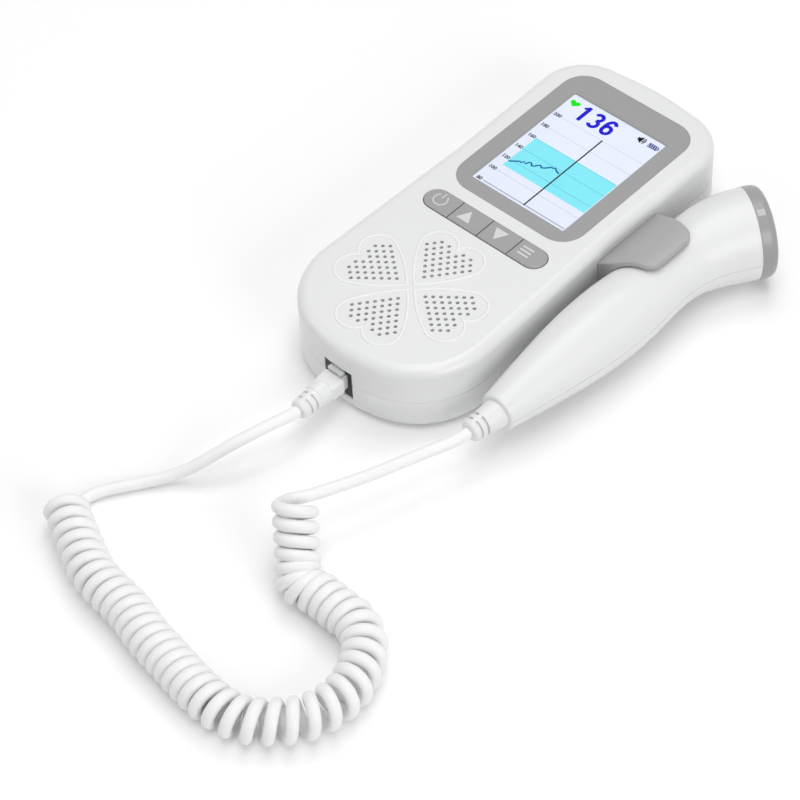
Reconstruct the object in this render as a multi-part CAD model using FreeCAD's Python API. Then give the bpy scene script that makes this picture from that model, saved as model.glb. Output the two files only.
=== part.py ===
"""Hand-held fetal doppler monitor with its probe, clip and curly cord.

Millimetres, +Z up. The monitor lies on its back: its origin is the middle of
the back face, +Y points to the display end and +X to the probe's side.
"""
import FreeCAD, Part
import math
import os

V = FreeCAD.Vector
UP = V(0, 0, 1)

# ---------------------------------------------------------------- driving dimensions
# Monitor housing
THICKNESS = 30.0
PARTING_Z = 14.5
WALL = 2.0
TOP_WALL = 2.6
TOP_RIM_RADIUS = 4.2
BOTTOM_RIM_RADIUS = 5.5
JACK_END_Y = -89.5
DISPLAY_END_Y = 88.2
WIDEST = 80.2
WAIST = 75.0
DISPLAY_END_WIDTH = 77.5
WAIST_Y = 18.0
JACK_END_RISE = 9.0
DISPLAY_END_RISE = 4.0
JACK_END_RADIUS = 60.0
JACK_CORNER_RADIUS = 32.0
WAIST_RADIUS = 180.0
DISPLAY_CORNER_RADIUS = 20.0
DISPLAY_END_RADIUS = 100.0
SEAM_GAP = 0.3
SEAM_DEPTH = 0.25
LIP_HEIGHT = 1.4
LIP_THICKNESS = 0.9
FIT_GAP = 0.1

# Display: a 2.8 inch panel
SCREEN_Y = 36.0
ACTIVE_WIDTH = 43.2
ACTIVE_LENGTH = 57.6
BEZEL_WIDTH = 58.5
BEZEL_BELOW_SCREEN = 36.0
BEZEL_ABOVE_SCREEN = 41.0
BEZEL_RADIUS = 10.0
BEZEL_THICKNESS = 1.6
BEZEL_LIP = 0.6
LEDGE = 2.0
THROUGH_RADIUS = 3.0
PANEL_WIDTH = 50.0
PANEL_LENGTH = 66.4
PANEL_THICKNESS = 2.6
PANEL_BELOW = 0.4
PANE_THICKNESS = 0.5
PANE_GAP = 0.2

# Keys
KEY_PITCH = 14.3
KEY_COUNT = 4
KEY_ROW_Y = SCREEN_Y - 46.7
KEY_ROW_WIDTH = 56.4
KEY_DEPTH = 10.0
KEY_GAP = 0.3
KEY_PROUD = 0.5
KEY_FLANGE = 1.0
FLANGE_THICKNESS = 1.5
SWITCH_SIZE = 5.2
KEY_NAMES = ("power_button", "up_button", "down_button", "menu_button")

# Speaker clover: four hearts with their tips together
CLOVER_X = -0.4
CLOVER_Y = SCREEN_Y - 85.73
HOLE_PITCH = 2.74
HOLE_ROW_TURN = 39.0
FIRST_HOLE = 6.86
HOLE_DIAMETER = 1.5
HOLE_SIDES = 8
HOLES_PER_ROW = (7, 7, 7, 6, 4, 4, 3)
HEART_TIP = 1.85
LOBE_OUT = 21.8
LOBE_SIDE = 6.3
LOBE_RADIUS = 7.1
LOBE_START = 116.0
LOBE_MIDDLE = 20.0
SIDE_BOW = 1.0
RIDGE_WIDTH = 1.1
RIDGE_HEIGHT = 0.3
RIDGE_CHAMFER = 0.2
RIDGE_SUNK = 0.4
SPEAKER_RADIUS = 26.0

# Socket and plug
JACK_X = -1.0
JACK_Z = 13.5
JACK_SIZE = 13.0
JACK_FACE_Y = -87.2
JACK_DEPTH = 15.0
PLUG_Z = 13.9
PLUG_WIDTH = 7.65
PLUG_HEIGHT = 6.4
PLUG_NOSE_Y = -75.5
BOOT_FACE_Y = -89.7
BOOT_END_Y = -108.5
BOOT_WIDTH = 9.2
BOOT_HEIGHT = 6.8
BOOT_BLOCK = 5.6
LATCH_RISE = 2.1
LATCH_WIDTH = 3.9
LATCH_TAIL_WIDTH = 6.3
LATCH_TAIL = 2.1
CONTACT_PITCH = 1.1

# Battery bay
CELL_RADIUS = 7.25
CELL_LENGTH = 50.5
CELL_PITCH = 15.1
CELL_Z = 9.5
BAY_WIDTH = 31.4
BAY_NEAR_Y = -12.0
BAY_FAR_Y = -68.5
BAY_TOP_Z = 17.2
BAY_WALL = 1.2
COVER_GAP = 0.3
COVER_THICKNESS = 1.8
COVER_RECESS = 0.15
HOOK_PLACES = (-9.0, 9.0)
HOOK_WIDTH = 5.0
HOOK_TOP = 3.4
HOOK_REACH = 1.7
GRIP_COUNT = 5
GRIP_PITCH = 1.8

# Boards and screws
BOARD_Z = 19.0
BOARD_THICKNESS = 1.6
SCREW_PLACES = ((-30.0, -55.0), (30.0, -55.0), (-28.0, 72.0), (28.0, 72.0))
SCREW_SHANK = 1.2
SCREW_HEAD = 2.4
POST_RADIUS = 4.0

# Probe: a straight handle that bends outwards at the head
PROBE_TAIL = V(54.3, -66.0, 17.4)
PROBE_HEADING = 2.0
PROBE_STRAIGHT = 98.78
PROBE_BEND_RADIUS = 50.0
PROBE_BEND = 31.29
PROBE_LENGTH = 132.77
PROBE_TAIL_RADIUS = 7.2
PROBE_HANDLE_RADII = (
    (0.0, PROBE_TAIL_RADIUS), (10.0, 8.95), (20.0, 10.55), (30.0, 12.0), (40.0, 13.2),
    (53.0, 14.05), (60.0, 14.1), (67.0, 13.85), (75.0, 13.15), (83.0, 12.4), (90.0, 12.2),
    (94.5, 12.65), (PROBE_STRAIGHT, 13.45),
)
PROBE_HEAD_SECTIONS = (
    (PROBE_STRAIGHT, 13.45), (102.0, 14.25), (106.0, 15.05), (110.0, 15.75),
    (114.0, 16.35), (118.0, 16.9), (122.0, 17.2), (126.37, 17.35),
)
CAP_START = 126.37
CAP_RADIUS = 17.4
CAP_BORE = 14.8
PROBE_CAVITY_RADIUS = 8.0
RELIEF_LENGTH = 13.2
TAIL_RIM = 0.9
RELIEF_LEAN = 4.6

# Probe clip: a wedge from the wall that runs into a round cradle
CLIP_X = 57.5
CLIP_Z = PROBE_TAIL.z
CLIP_INNER = 14.1
CLIP_WALL = 2.1
CLIP_ROOT_X = 37.5
CLIP_ROOT_RISE = 6.0
CLIP_TIP_X = 61.2
CLIP_EDGE = 0.8
CLIP_PLAN = (
    (33.0, 7.2, 0.0), (46.0, 6.8, 12.0), (61.0, 10.4, 5.0),
    (CLIP_TIP_X, 32.6, 5.5), (33.0, 42.5, 0.0),
)
CLIP_SCREW_ROWS = (14.0, 33.0)

# Cord: the lead to the plug, the coil and the lead to the probe
CORD_DIAMETER = 4.5
COIL_DIAMETER = 16.0
CORD_Z = CORD_DIAMETER / 2
COIL_Z = COIL_DIAMETER / 2
PLUG_LEAD = (
    V(JACK_X, BOOT_END_Y, PLUG_Z), V(JACK_X, -113.3, PLUG_Z), V(-2.5, -118.6, 13.1),
    V(-6.6, -125.4, 11.0), V(-10.6, -134.6, 8.2), V(-16.2, -144.2, 5.1), V(-22.6, -153.8, 2.9),
    V(-28.4, -162.6, CORD_Z), V(-32.4, -171.6, 2.3), V(-34.4, -178.6, 3.2), V(-35.0, -185.0, 3.6),
)
COIL_LINE = (
    V(-36.8, -186.2, COIL_Z), V(-19.0, -195.2, COIL_Z), V(-1.4, -202.2, COIL_Z),
    V(17.0, -207.2, COIL_Z), V(37.0, -210.4, COIL_Z), V(56.0, -212.5, COIL_Z),
    V(74.0, -212.4, COIL_Z), V(87.4, -204.8, COIL_Z), V(94.0, -191.0, COIL_Z),
    V(92.6, -176.0, COIL_Z), V(84.6, -163.6, COIL_Z), V(72.6, -157.4, COIL_Z),
    V(60.6, -157.4, COIL_Z), V(50.4, -158.6, 9.0), V(44.6, -156.0, 12.4),
    V(40.4, -151.2, 17.8), V(37.0, -147.8, 22.8), V(34.6, -145.4, 26.6),
)
PROBE_LEAD_START = 5.0
PROBE_LEAD_REST = (
    V(49.0, -92.0, 17.3), V(45.0, -101.8, 18.0), V(42.0, -111.6, 18.7), V(38.5, -121.6, 19.5),
    V(34.9, -131.4, 20.4), V(31.6, -140.6, 21.6), V(30.2, -146.6, 22.8),
)
ARC_SHARE = 0.45


# ---------------------------------------------------------------- plain helpers
def rounded_wire(corners, z):
    """Closed wire at height z through (x, y, radius) corners, each rounded by a tangent arc."""
    count = len(corners)
    starts, arcs, ends = [], [], []
    for index in range(count):
        x, y, radius = corners[index]
        corner = V(x, y, z)
        before = V(corners[index - 1][0], corners[index - 1][1], z)
        after = V(corners[(index + 1) % count][0], corners[(index + 1) % count][1], z)
        start, arc, end = tangent_arc(corner, before, after, radius)
        starts.append(start)
        arcs.append(arc)
        ends.append(end)
    edges = []
    for index in range(count):
        if arcs[index] is not None:
            edges.append(arcs[index].toShape())
        following = starts[(index + 1) % count]
        if ends[index].distanceToPoint(following) > 1e-6:
            edges.append(Part.LineSegment(ends[index], following).toShape())
    return Part.Wire(Part.__sortEdges__(edges))


def tangent_arc(corner, before, after, radius):
    """(start, arc, end) of the arc of that radius that is tangent to both runs at a corner."""
    if radius <= 0:
        return corner, None, corner
    back = (before - corner).normalize()
    on = (after - corner).normalize()
    half_angle = back.getAngle(on) / 2
    reach = radius / math.tan(half_angle)
    start = corner + back * reach
    end = corner + on * reach
    inward = (back + on).normalize()
    centre = corner + inward * (radius / math.sin(half_angle))
    middle = centre - inward * radius
    return start, Part.Arc(start, middle, end), end


def rectangle(width, length, radius, x, y, z):
    """Rounded rectangle centred on x, y at height z."""
    half_w, half_l = width / 2, length / 2
    return rounded_wire([
        (x - half_w, y - half_l, radius), (x + half_w, y - half_l, radius),
        (x + half_w, y + half_l, radius), (x - half_w, y + half_l, radius),
    ], z)


def prism(wire, height):
    """Solid from a closed flat wire, raised by height along Z."""
    return Part.Face(wire).extrude(V(0, 0, height))


def box(low, high):
    """Box from its lowest to its highest corner."""
    return Part.makeBox(high.x - low.x, high.y - low.y, high.z - low.z, low)


def rod(radius, start, end):
    """Cylinder from one point to another."""
    axis = end - start
    return Part.makeCylinder(radius, axis.Length, start, axis)


def turned(profile, start, axis):
    """Solid of revolution from (distance, radius) points along an axis from start."""
    points = [V(0, 0, profile[0][0])]
    points += [V(radius, 0, distance) for distance, radius in profile]
    points.append(V(0, 0, profile[-1][0]))
    points.append(points[0])
    solid = Part.Face(Part.makePolygon(points)).revolve(V(0, 0, 0), UP, 360)
    solid.Placement = FreeCAD.Placement(start, FreeCAD.Rotation(UP, axis))
    return solid


def edges_at(shape, z):
    """Edges that lie at height z."""
    return [e for e in shape.Edges if all(abs(v.Z - z) < 1e-4 for v in e.Vertexes)]


def fused(first, *others):
    """One shape from several, with needless seams removed."""
    return first.fuse(list(others)).removeSplitter()


def solids_only(shape):
    """The shape's single solid, or its solids as one compound."""
    return shape.Solids[0] if len(shape.Solids) == 1 else Part.makeCompound(shape.Solids)


# ---------------------------------------------------------------- housing
def housing_corners():
    """Corners of the waisted outline, from the jack end round to the right."""
    right = [
        (WIDEST / 2, JACK_END_Y + JACK_END_RISE, JACK_CORNER_RADIUS),
        (WAIST / 2, WAIST_Y, WAIST_RADIUS),
        (DISPLAY_END_WIDTH / 2, DISPLAY_END_Y - DISPLAY_END_RISE, DISPLAY_CORNER_RADIUS),
    ]
    left = [(-x, y, radius) for x, y, radius in reversed(right)]
    jack_end = [(0, JACK_END_Y, JACK_END_RADIUS)]
    display_end = [(0, DISPLAY_END_Y, DISPLAY_END_RADIUS)]
    return jack_end + right + display_end + left


def housing_slab(inset, low, high):
    """Prism of the outline, moved in by inset, from one height to another."""
    wire = rounded_wire(housing_corners(), low)
    if inset:
        wire = wire.makeOffset2D(-inset)
    return prism(wire, high - low)


def housing_body():
    """The whole outer form, with its rounded rims."""
    body = housing_slab(0, 0, THICKNESS)
    body = body.makeFillet(TOP_RIM_RADIUS, edges_at(body, THICKNESS))
    return body.makeFillet(BOTTOM_RIM_RADIUS, edges_at(body, 0))


def housing_cavity():
    """The room inside the walls."""
    top = THICKNESS - TOP_WALL
    room = housing_slab(WALL, WALL, top)
    room = room.makeFillet(TOP_RIM_RADIUS - WALL, edges_at(room, top))
    return room.makeFillet(BOTTOM_RIM_RADIUS - WALL, edges_at(room, WALL))


def seam_groove():
    """The fine groove where the two halves meet."""
    low = PARTING_Z - SEAM_GAP / 2
    high = PARTING_Z + SEAM_GAP / 2
    return housing_slab(0, low, high).cut(housing_slab(SEAM_DEPTH, low, high))


def jack_notch():
    """The hole through the end wall for the socket."""
    half = JACK_SIZE / 2 + FIT_GAP
    return box(V(JACK_X - half, JACK_END_Y - 5, JACK_Z - half),
               V(JACK_X + half, JACK_FACE_Y + 4, JACK_Z + half))


def bezel_centre_y():
    """Middle of the bezel along the housing."""
    return SCREEN_Y + (BEZEL_ABOVE_SCREEN - BEZEL_BELOW_SCREEN) / 2


def key_row(growth, low, high):
    """Capsule-shaped prism of the key row, grown all round."""
    width = KEY_ROW_WIDTH + 2 * growth
    depth = KEY_DEPTH + 2 * growth
    wire = rectangle(width, depth, depth / 2 - 0.01, 0, KEY_ROW_Y, low)
    return prism(wire, high - low)


def leaf_frames():
    """(outward, sideways) directions of the clover's four leaves."""
    ways = [V(1, 0, 0), V(0, 1, 0), V(-1, 0, 0), V(0, -1, 0)]
    return [(ways[turn], ways[(turn + 1) % 4]) for turn in range(4)]


def heart_wire(out, side, z, growth):
    """Outline of one heart leaf, grown all round: bowed sides from the tip, and two lobes."""
    centre = V(CLOVER_X, CLOVER_Y, z)
    radius = LOBE_RADIUS + growth

    def at(p, q):
        return centre + out * p + side * q

    def on_lobe(degrees, size):
        turn = math.radians(degrees)
        return LOBE_OUT + size * math.cos(turn), LOBE_SIDE + size * math.sin(turn)

    end_x, end_y = on_lobe(LOBE_START, LOBE_RADIUS)
    run, rise = end_x - HEART_TIP, end_y
    chord = math.hypot(run, rise)
    tip_slope = math.atan2(rise, run) + 2 * math.atan(2 * SIDE_BOW / chord)
    tip = HEART_TIP - growth / math.sin(tip_slope)
    bow = SIDE_BOW + growth
    bowed = (HEART_TIP + run / 2 - rise / chord * bow, rise / 2 + run / chord * bow)
    join = on_lobe(LOBE_START, radius)
    far = on_lobe(LOBE_MIDDLE, radius)
    notch = LOBE_OUT + math.sqrt(radius ** 2 - LOBE_SIDE ** 2)
    return Part.Wire([
        Part.Arc(at(tip, 0), at(*bowed), at(*join)).toShape(),
        Part.Arc(at(*join), at(*far), at(notch, 0)).toShape(),
        Part.Arc(at(notch, 0), at(far[0], -far[1]), at(join[0], -join[1])).toShape(),
        Part.Arc(at(join[0], -join[1]), at(bowed[0], -bowed[1]), at(tip, 0)).toShape(),
    ])


def clover_ridges():
    """The fine raised bead round each leaf."""
    beads = []
    low, height = THICKNESS - RIDGE_SUNK, RIDGE_SUNK + RIDGE_HEIGHT
    for out, side in leaf_frames():
        outer = prism(heart_wire(out, side, low, RIDGE_WIDTH / 2), height)
        inner = prism(heart_wire(out, side, low, -RIDGE_WIDTH / 2), height + 1)
        bead = outer.cut(inner)
        beads.append(bead.makeChamfer(RIDGE_CHAMFER, edges_at(bead, THICKNESS + RIDGE_HEIGHT)))
    return beads


def speaker_holes():
    """The small holes of the clover, in slanting rows that mirror across each leaf."""
    foot = V(CLOVER_X, CLOVER_Y, THICKNESS - TOP_WALL - 1)
    step_out = HOLE_PITCH * math.cos(math.radians(HOLE_ROW_TURN))
    step_side = HOLE_PITCH * math.sin(math.radians(HOLE_ROW_TURN))
    drills = []
    for out, side in leaf_frames():
        for row, count in enumerate(HOLES_PER_ROW):
            for place in range(count):
                p = FIRST_HOLE + (place + row) * step_out
                q = (place - row) * step_side
                drills.append(hole_drill(foot + out * p + side * q))
    return Part.makeCompound(drills)


def hole_drill(foot):
    """One many-sided drill, standing on its foot."""
    step = 2 * math.pi / HOLE_SIDES
    ring = [foot + V(math.cos(k * step), math.sin(k * step), 0) * (HOLE_DIAMETER / 2)
            for k in range(HOLE_SIDES)]
    ring.append(ring[0])
    return Part.Face(Part.makePolygon(ring)).extrude(V(0, 0, TOP_WALL + 3))


def front_shell():
    """Upper half: window seat, key slot, clover, screw bosses."""
    upper = box(V(-60, -120, PARTING_Z), V(60, 120, THICKNESS + 5))
    shell = housing_body().common(upper).cut(housing_cavity())
    bosses = []
    for x, y in SCREW_PLACES:
        bosses.append(rod(POST_RADIUS - 0.5, V(x, y, PARTING_Z), V(x, y, THICKNESS - 1)))
    shell = fused(shell, *bosses, *clover_ridges())
    seat_y = bezel_centre_y()
    seat_length = BEZEL_BELOW_SCREEN + BEZEL_ABOVE_SCREEN
    seat = prism(rectangle(BEZEL_WIDTH, seat_length, BEZEL_RADIUS, 0, seat_y,
                           THICKNESS - BEZEL_THICKNESS), BEZEL_THICKNESS + 1)
    through = prism(rectangle(BEZEL_WIDTH - 2 * LEDGE, seat_length - 2 * LEDGE,
                              THROUGH_RADIUS, 0, seat_y, 20), 15)
    lip_room = housing_slab(WALL - LIP_THICKNESS - FIT_GAP, PARTING_Z - 1,
                            PARTING_Z + LIP_HEIGHT + FIT_GAP)
    pilots = [rod(SCREW_SHANK, V(x, y, PARTING_Z - 1), V(x, y, 25)) for x, y in SCREW_PLACES]
    lip_cut = lip_room.cut(Part.makeCompound(bosses))
    clip_bores = [rod(SCREW_SHANK + 0.1, V(30, y, CLIP_Z), V(42, y, CLIP_Z)) for y in CLIP_SCREW_ROWS]
    for tool in [seat, through, key_row(KEY_GAP, 20, 40), lip_cut, seam_groove(), jack_notch(),
                 Part.makeCompound(pilots), *clip_bores, speaker_holes()]:
        shell = shell.cut(tool)
    return solids_only(shell)


def bay_room():
    """The space of the battery bay, open at the back."""
    return box(V(-BAY_WIDTH / 2, BAY_FAR_Y, -1), V(BAY_WIDTH / 2, BAY_NEAR_Y, BAY_TOP_Z))


def cover_plate(gap, low, high):
    """Rounded plate the size of the cover's recess, less a gap all round."""
    width = BAY_WIDTH + 4 - 2 * gap
    length = BAY_NEAR_Y - BAY_FAR_Y + 4 - 2 * gap
    middle = (BAY_NEAR_Y + BAY_FAR_Y) / 2
    return prism(rectangle(width, length, 4 - gap, 0, middle, low), high - low)


def hook_slots(growth):
    """Room of the cover's two hooks, over the edge of the bay."""
    rooms = []
    half = HOOK_WIDTH / 2 + growth
    for x in HOOK_PLACES:
        rooms.append(box(V(x - half, BAY_NEAR_Y - 4, COVER_THICKNESS - growth),
                         V(x + half, BAY_NEAR_Y + HOOK_REACH + growth, HOOK_TOP + 2 * growth)))
    return rooms


def rear_shell():
    """Lower half: battery bay, screw posts, seam lip."""
    lower = box(V(-60, -120, -5), V(60, 120, PARTING_Z))
    shell = housing_body().common(lower).cut(housing_cavity())
    lip = housing_slab(WALL - LIP_THICKNESS, PARTING_Z - 0.5, PARTING_Z + LIP_HEIGHT)
    lip = lip.cut(housing_slab(WALL, PARTING_Z - 1, PARTING_Z + 5))
    bay_walls = box(V(-BAY_WIDTH / 2 - BAY_WALL, BAY_FAR_Y - BAY_WALL, 1),
                    V(BAY_WIDTH / 2 + BAY_WALL, BAY_NEAR_Y + BAY_WALL, BAY_TOP_Z + BAY_WALL))
    rim = cover_plate(-1.2, 1, COVER_THICKNESS + 1.4)
    posts = [rod(POST_RADIUS, V(x, y, 1), V(x, y, PARTING_Z)) for x, y in SCREW_PLACES]
    shell = fused(shell, lip, bay_walls, rim, *posts)
    recess = cover_plate(0, -1, COVER_THICKNESS + COVER_RECESS + 0.05)
    sinks = [rod(SCREW_HEAD + 0.3, V(x, y, -1), V(x, y, 5)) for x, y in SCREW_PLACES]
    bores = [rod(SCREW_SHANK + 0.2, V(x, y, 4), V(x, y, PARTING_Z + 1)) for x, y in SCREW_PLACES]
    for tool in [bay_room(), recess, seam_groove(), jack_notch(), *hook_slots(0.4), *sinks, *bores]:
        shell = shell.cut(tool)
    return solids_only(shell)


def housing_screws():
    """Four screws that draw the halves together from the back."""
    screws = []
    for x, y in SCREW_PLACES:
        head = [(0, SCREW_HEAD), (1.6, SCREW_HEAD), (1.6, SCREW_SHANK - 0.05),
                (18.5, SCREW_SHANK - 0.05), (19.5, 0.4)]
        screw = turned(head, V(x, y, 3.4), UP)
        slot = box(V(x - 2, y - 0.35, 3.3), V(x + 2, y + 0.35, 4.0))
        cross = box(V(x - 0.35, y - 2, 3.3), V(x + 0.35, y + 2, 4.0))
        screws.append(screw.cut(slot).cut(cross))
    return Part.makeCompound(screws)


# ---------------------------------------------------------------- display and keys
def display_bezel():
    """Grey frame, thin at its opening, rebated behind for the pane."""
    low = THICKNESS - BEZEL_THICKNESS
    length = BEZEL_BELOW_SCREEN + BEZEL_ABOVE_SCREEN
    plate = prism(rectangle(BEZEL_WIDTH - 2 * FIT_GAP, length - 2 * FIT_GAP, BEZEL_RADIUS - FIT_GAP,
                            0, bezel_centre_y(), low), BEZEL_THICKNESS)
    plate = plate.makeChamfer(0.25, edges_at(plate, THICKNESS))
    opening = prism(rectangle(ACTIVE_WIDTH + 0.8, ACTIVE_LENGTH + 0.8, 0.6, 0, SCREEN_Y, low - 1), 5)
    rebate = prism(rectangle(PANEL_WIDTH + 0.8, PANEL_LENGTH + 0.8, 1.5, 0, panel_centre_y(),
                             low - 1), BEZEL_THICKNESS - BEZEL_LIP + 1)
    bevel = prism(rectangle(ACTIVE_WIDTH + 1.6, ACTIVE_LENGTH + 1.6, 1.0, 0, SCREEN_Y,
                            THICKNESS - 0.4), 0.4)
    bevel = bevel.makeChamfer(0.39, edges_at(bevel, THICKNESS - 0.4))
    return plate.cut(opening).cut(bevel).cut(rebate)


def panel_centre_y():
    """The panel's body runs further below the picture than above it."""
    return SCREEN_Y - PANEL_BELOW


def panel_underside():
    """Height of the panel's back, which leaves a thin gap under the pane."""
    return THICKNESS - BEZEL_LIP - PANE_THICKNESS - PANE_GAP - PANEL_THICKNESS


def display_window():
    """Clear pane between the bezel's lip and the panel."""
    top = THICKNESS - BEZEL_LIP
    return prism(rectangle(PANEL_WIDTH + 0.6, PANEL_LENGTH + 0.6, 1.4, 0, panel_centre_y(),
                           top - PANE_THICKNESS), PANE_THICKNESS)


def display_panel():
    """Display module: glass on a thin tray, with its driver ledge."""
    low = panel_underside()
    tray = prism(rectangle(PANEL_WIDTH, PANEL_LENGTH, 1.0, 0, panel_centre_y(), low), PANEL_THICKNESS - 0.7)
    glass = prism(rectangle(PANEL_WIDTH - 1, PANEL_LENGTH - 4, 0.6, 0, panel_centre_y() + 1.4,
                            low + 1.5), PANEL_THICKNESS - 1.5)
    return fused(tray, glass)


def display_foam():
    """Foam frame that holds the panel off the board."""
    low = BOARD_Z + BOARD_THICKNESS
    high = panel_underside()
    outer = prism(rectangle(PANEL_WIDTH - 2, PANEL_LENGTH - 2, 1.5, 0, panel_centre_y(), low), high - low)
    inner = prism(rectangle(PANEL_WIDTH - 8, PANEL_LENGTH - 8, 1.5, 0, panel_centre_y(), low - 1), high)
    return outer.cut(inner)


def key(index):
    """One key of the row: a proud cap on a flange that keeps it in the slot."""
    left = (index - KEY_COUNT / 2) * KEY_PITCH
    right = left + KEY_PITCH
    outer_left = -60 if index == 0 else left + KEY_GAP / 2
    outer_right = 60 if index == KEY_COUNT - 1 else right - KEY_GAP / 2
    flange_top = THICKNESS - TOP_WALL - 0.4
    flange_low = flange_top - FLANGE_THICKNESS
    cap = key_row(0, flange_low, THICKNESS + KEY_PROUD)
    cap = cap.common(box(V(outer_left, -40, 0), V(outer_right, 20, 60)))
    cap = cap.makeFillet(0.4, edges_at(cap, THICKNESS + KEY_PROUD))
    flange = key_row(KEY_FLANGE, flange_low, flange_top)
    flange = flange.common(box(V(outer_left, -40, 0), V(outer_right, 20, 60)))
    return fused(cap, flange)


def button_pad():
    """Rubber pad with a dome under each key."""
    low = BOARD_Z + BOARD_THICKNESS + 2.3
    pad = prism(rectangle(KEY_ROW_WIDTH + 2, KEY_DEPTH + 3, 2, 0, KEY_ROW_Y, low), 0.8)
    domes = []
    for index in range(KEY_COUNT):
        x = (index - (KEY_COUNT - 1) / 2) * KEY_PITCH
        domes.append(turned([(0, 3.4), (0.9, 2.6), (1.4, 2.2)], V(x, KEY_ROW_Y, low + 0.4), UP))
    return fused(pad, *domes)


def tact_switches():
    """Four switches on the board, one under each dome."""
    switches = []
    low = BOARD_Z + BOARD_THICKNESS
    for index in range(KEY_COUNT):
        x = (index - (KEY_COUNT - 1) / 2) * KEY_PITCH
        half = SWITCH_SIZE / 2
        case = box(V(x - half, KEY_ROW_Y - half, low), V(x + half, KEY_ROW_Y + half, low + 1.5))
        stem = rod(1.2, V(x, KEY_ROW_Y, low + 1), V(x, KEY_ROW_Y, low + 2.0))
        switches.append(case.fuse(stem).removeSplitter())
    return Part.makeCompound(switches)


def main_board():
    """Circuit board under the display and keys, notched round the screw bosses."""
    low_y, high_y = KEY_ROW_Y - 8, 78
    board = prism(rectangle(62, high_y - low_y, 3, 0, (low_y + high_y) / 2, BOARD_Z), BOARD_THICKNESS)
    for x, y in SCREW_PLACES[2:]:
        board = board.cut(rod(POST_RADIUS + 0.2, V(x, y, BOARD_Z - 1), V(x, y, BOARD_Z + 5)))
    return board


def speaker_frame():
    """Speaker basket with its magnet."""
    top = THICKNESS - TOP_WALL
    return turned([
        (0, 9.5), (3.2, 9.5), (3.2, 13.0), (3.8, 13.0), (6.6, 22.5), (6.6, SPEAKER_RADIUS),
        (8.0, SPEAKER_RADIUS), (8.0, 22.6), (7.0, 21.8), (4.6, 12.4), (4.6, 0),
    ], V(CLOVER_X, CLOVER_Y, top - 8.0), UP)


def speaker_cone():
    """Shallow cone with its dust cap, inside the basket."""
    top = THICKNESS - TOP_WALL
    return turned([
        (0, 7.0), (2.6, 21.2), (2.9, 22.0), (3.1, 22.0), (3.1, 21.2), (0.6, 8.2), (1.6, 5.5), (2.0, 0),
    ], V(CLOVER_X, CLOVER_Y, top - 3.3), UP)


# ---------------------------------------------------------------- socket and plug
def modular_jack():
    """Socket block with a stepped mouth: the plug's channel and the latch's above it."""
    half = JACK_SIZE / 2
    back = JACK_FACE_Y + JACK_DEPTH
    block = box(V(JACK_X - half, JACK_FACE_Y, JACK_Z - half), V(JACK_X + half, back, JACK_Z + half))
    half_w = PLUG_WIDTH / 2 + 0.25
    low = PLUG_Z - PLUG_HEIGHT / 2 - 0.3
    high = PLUG_Z + PLUG_HEIGHT / 2 + 0.3
    end = PLUG_NOSE_Y + 0.8
    channel = box(V(JACK_X - half_w, JACK_FACE_Y - 1, low), V(JACK_X + half_w, end, high))
    half_latch = LATCH_WIDTH / 2 + 0.25
    latch_way = box(V(JACK_X - half_latch, JACK_FACE_Y - 1, high - 1),
                    V(JACK_X + half_latch, end, high + LATCH_RISE))
    wires = box(V(JACK_X - 2.4, JACK_FACE_Y + 2, low - 1.2), V(JACK_X + 2.4, end, low + 1))
    return block.cut(channel).cut(latch_way).cut(wires)


def contact_rows():
    """Where the four contacts are across the plug and the socket."""
    return [JACK_X + (place - 1.5) * CONTACT_PITCH for place in range(4)]


def jack_contacts():
    """Four spring wires in the floor of the socket."""
    z = PLUG_Z - PLUG_HEIGHT / 2 - 1.0
    wires = [rod(0.25, V(x, JACK_FACE_Y + 3, z), V(x, PLUG_NOSE_Y + 0.8, z)) for x in contact_rows()]
    return Part.makeCompound(wires)


def plug_body():
    """Clear modular plug, stepped at its nose."""
    half_w, half_h = PLUG_WIDTH / 2, PLUG_HEIGHT / 2
    body = box(V(JACK_X - half_w, BOOT_FACE_Y, PLUG_Z - half_h),
               V(JACK_X + half_w, PLUG_NOSE_Y, PLUG_Z + half_h))
    edges = [e for e in body.Edges if abs(e.Vertexes[0].Y - e.Vertexes[1].Y) > 5]
    body = body.makeFillet(0.4, edges)
    cavity = box(V(JACK_X - 2.4, PLUG_NOSE_Y - 5.5, PLUG_Z - half_h - 1),
                 V(JACK_X + 2.4, PLUG_NOSE_Y - 1.2, PLUG_Z - half_h + 1.2))
    return body.cut(cavity)


def plug_contacts():
    """Four blades in the plug's underside."""
    low = PLUG_Z - PLUG_HEIGHT / 2 + 0.2
    blades = []
    for x in contact_rows():
        blades.append(box(V(x - 0.18, PLUG_NOSE_Y - 5.0, low), V(x + 0.18, PLUG_NOSE_Y - 1.7, low + 1.0)))
    return Part.makeCompound(blades)


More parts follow.
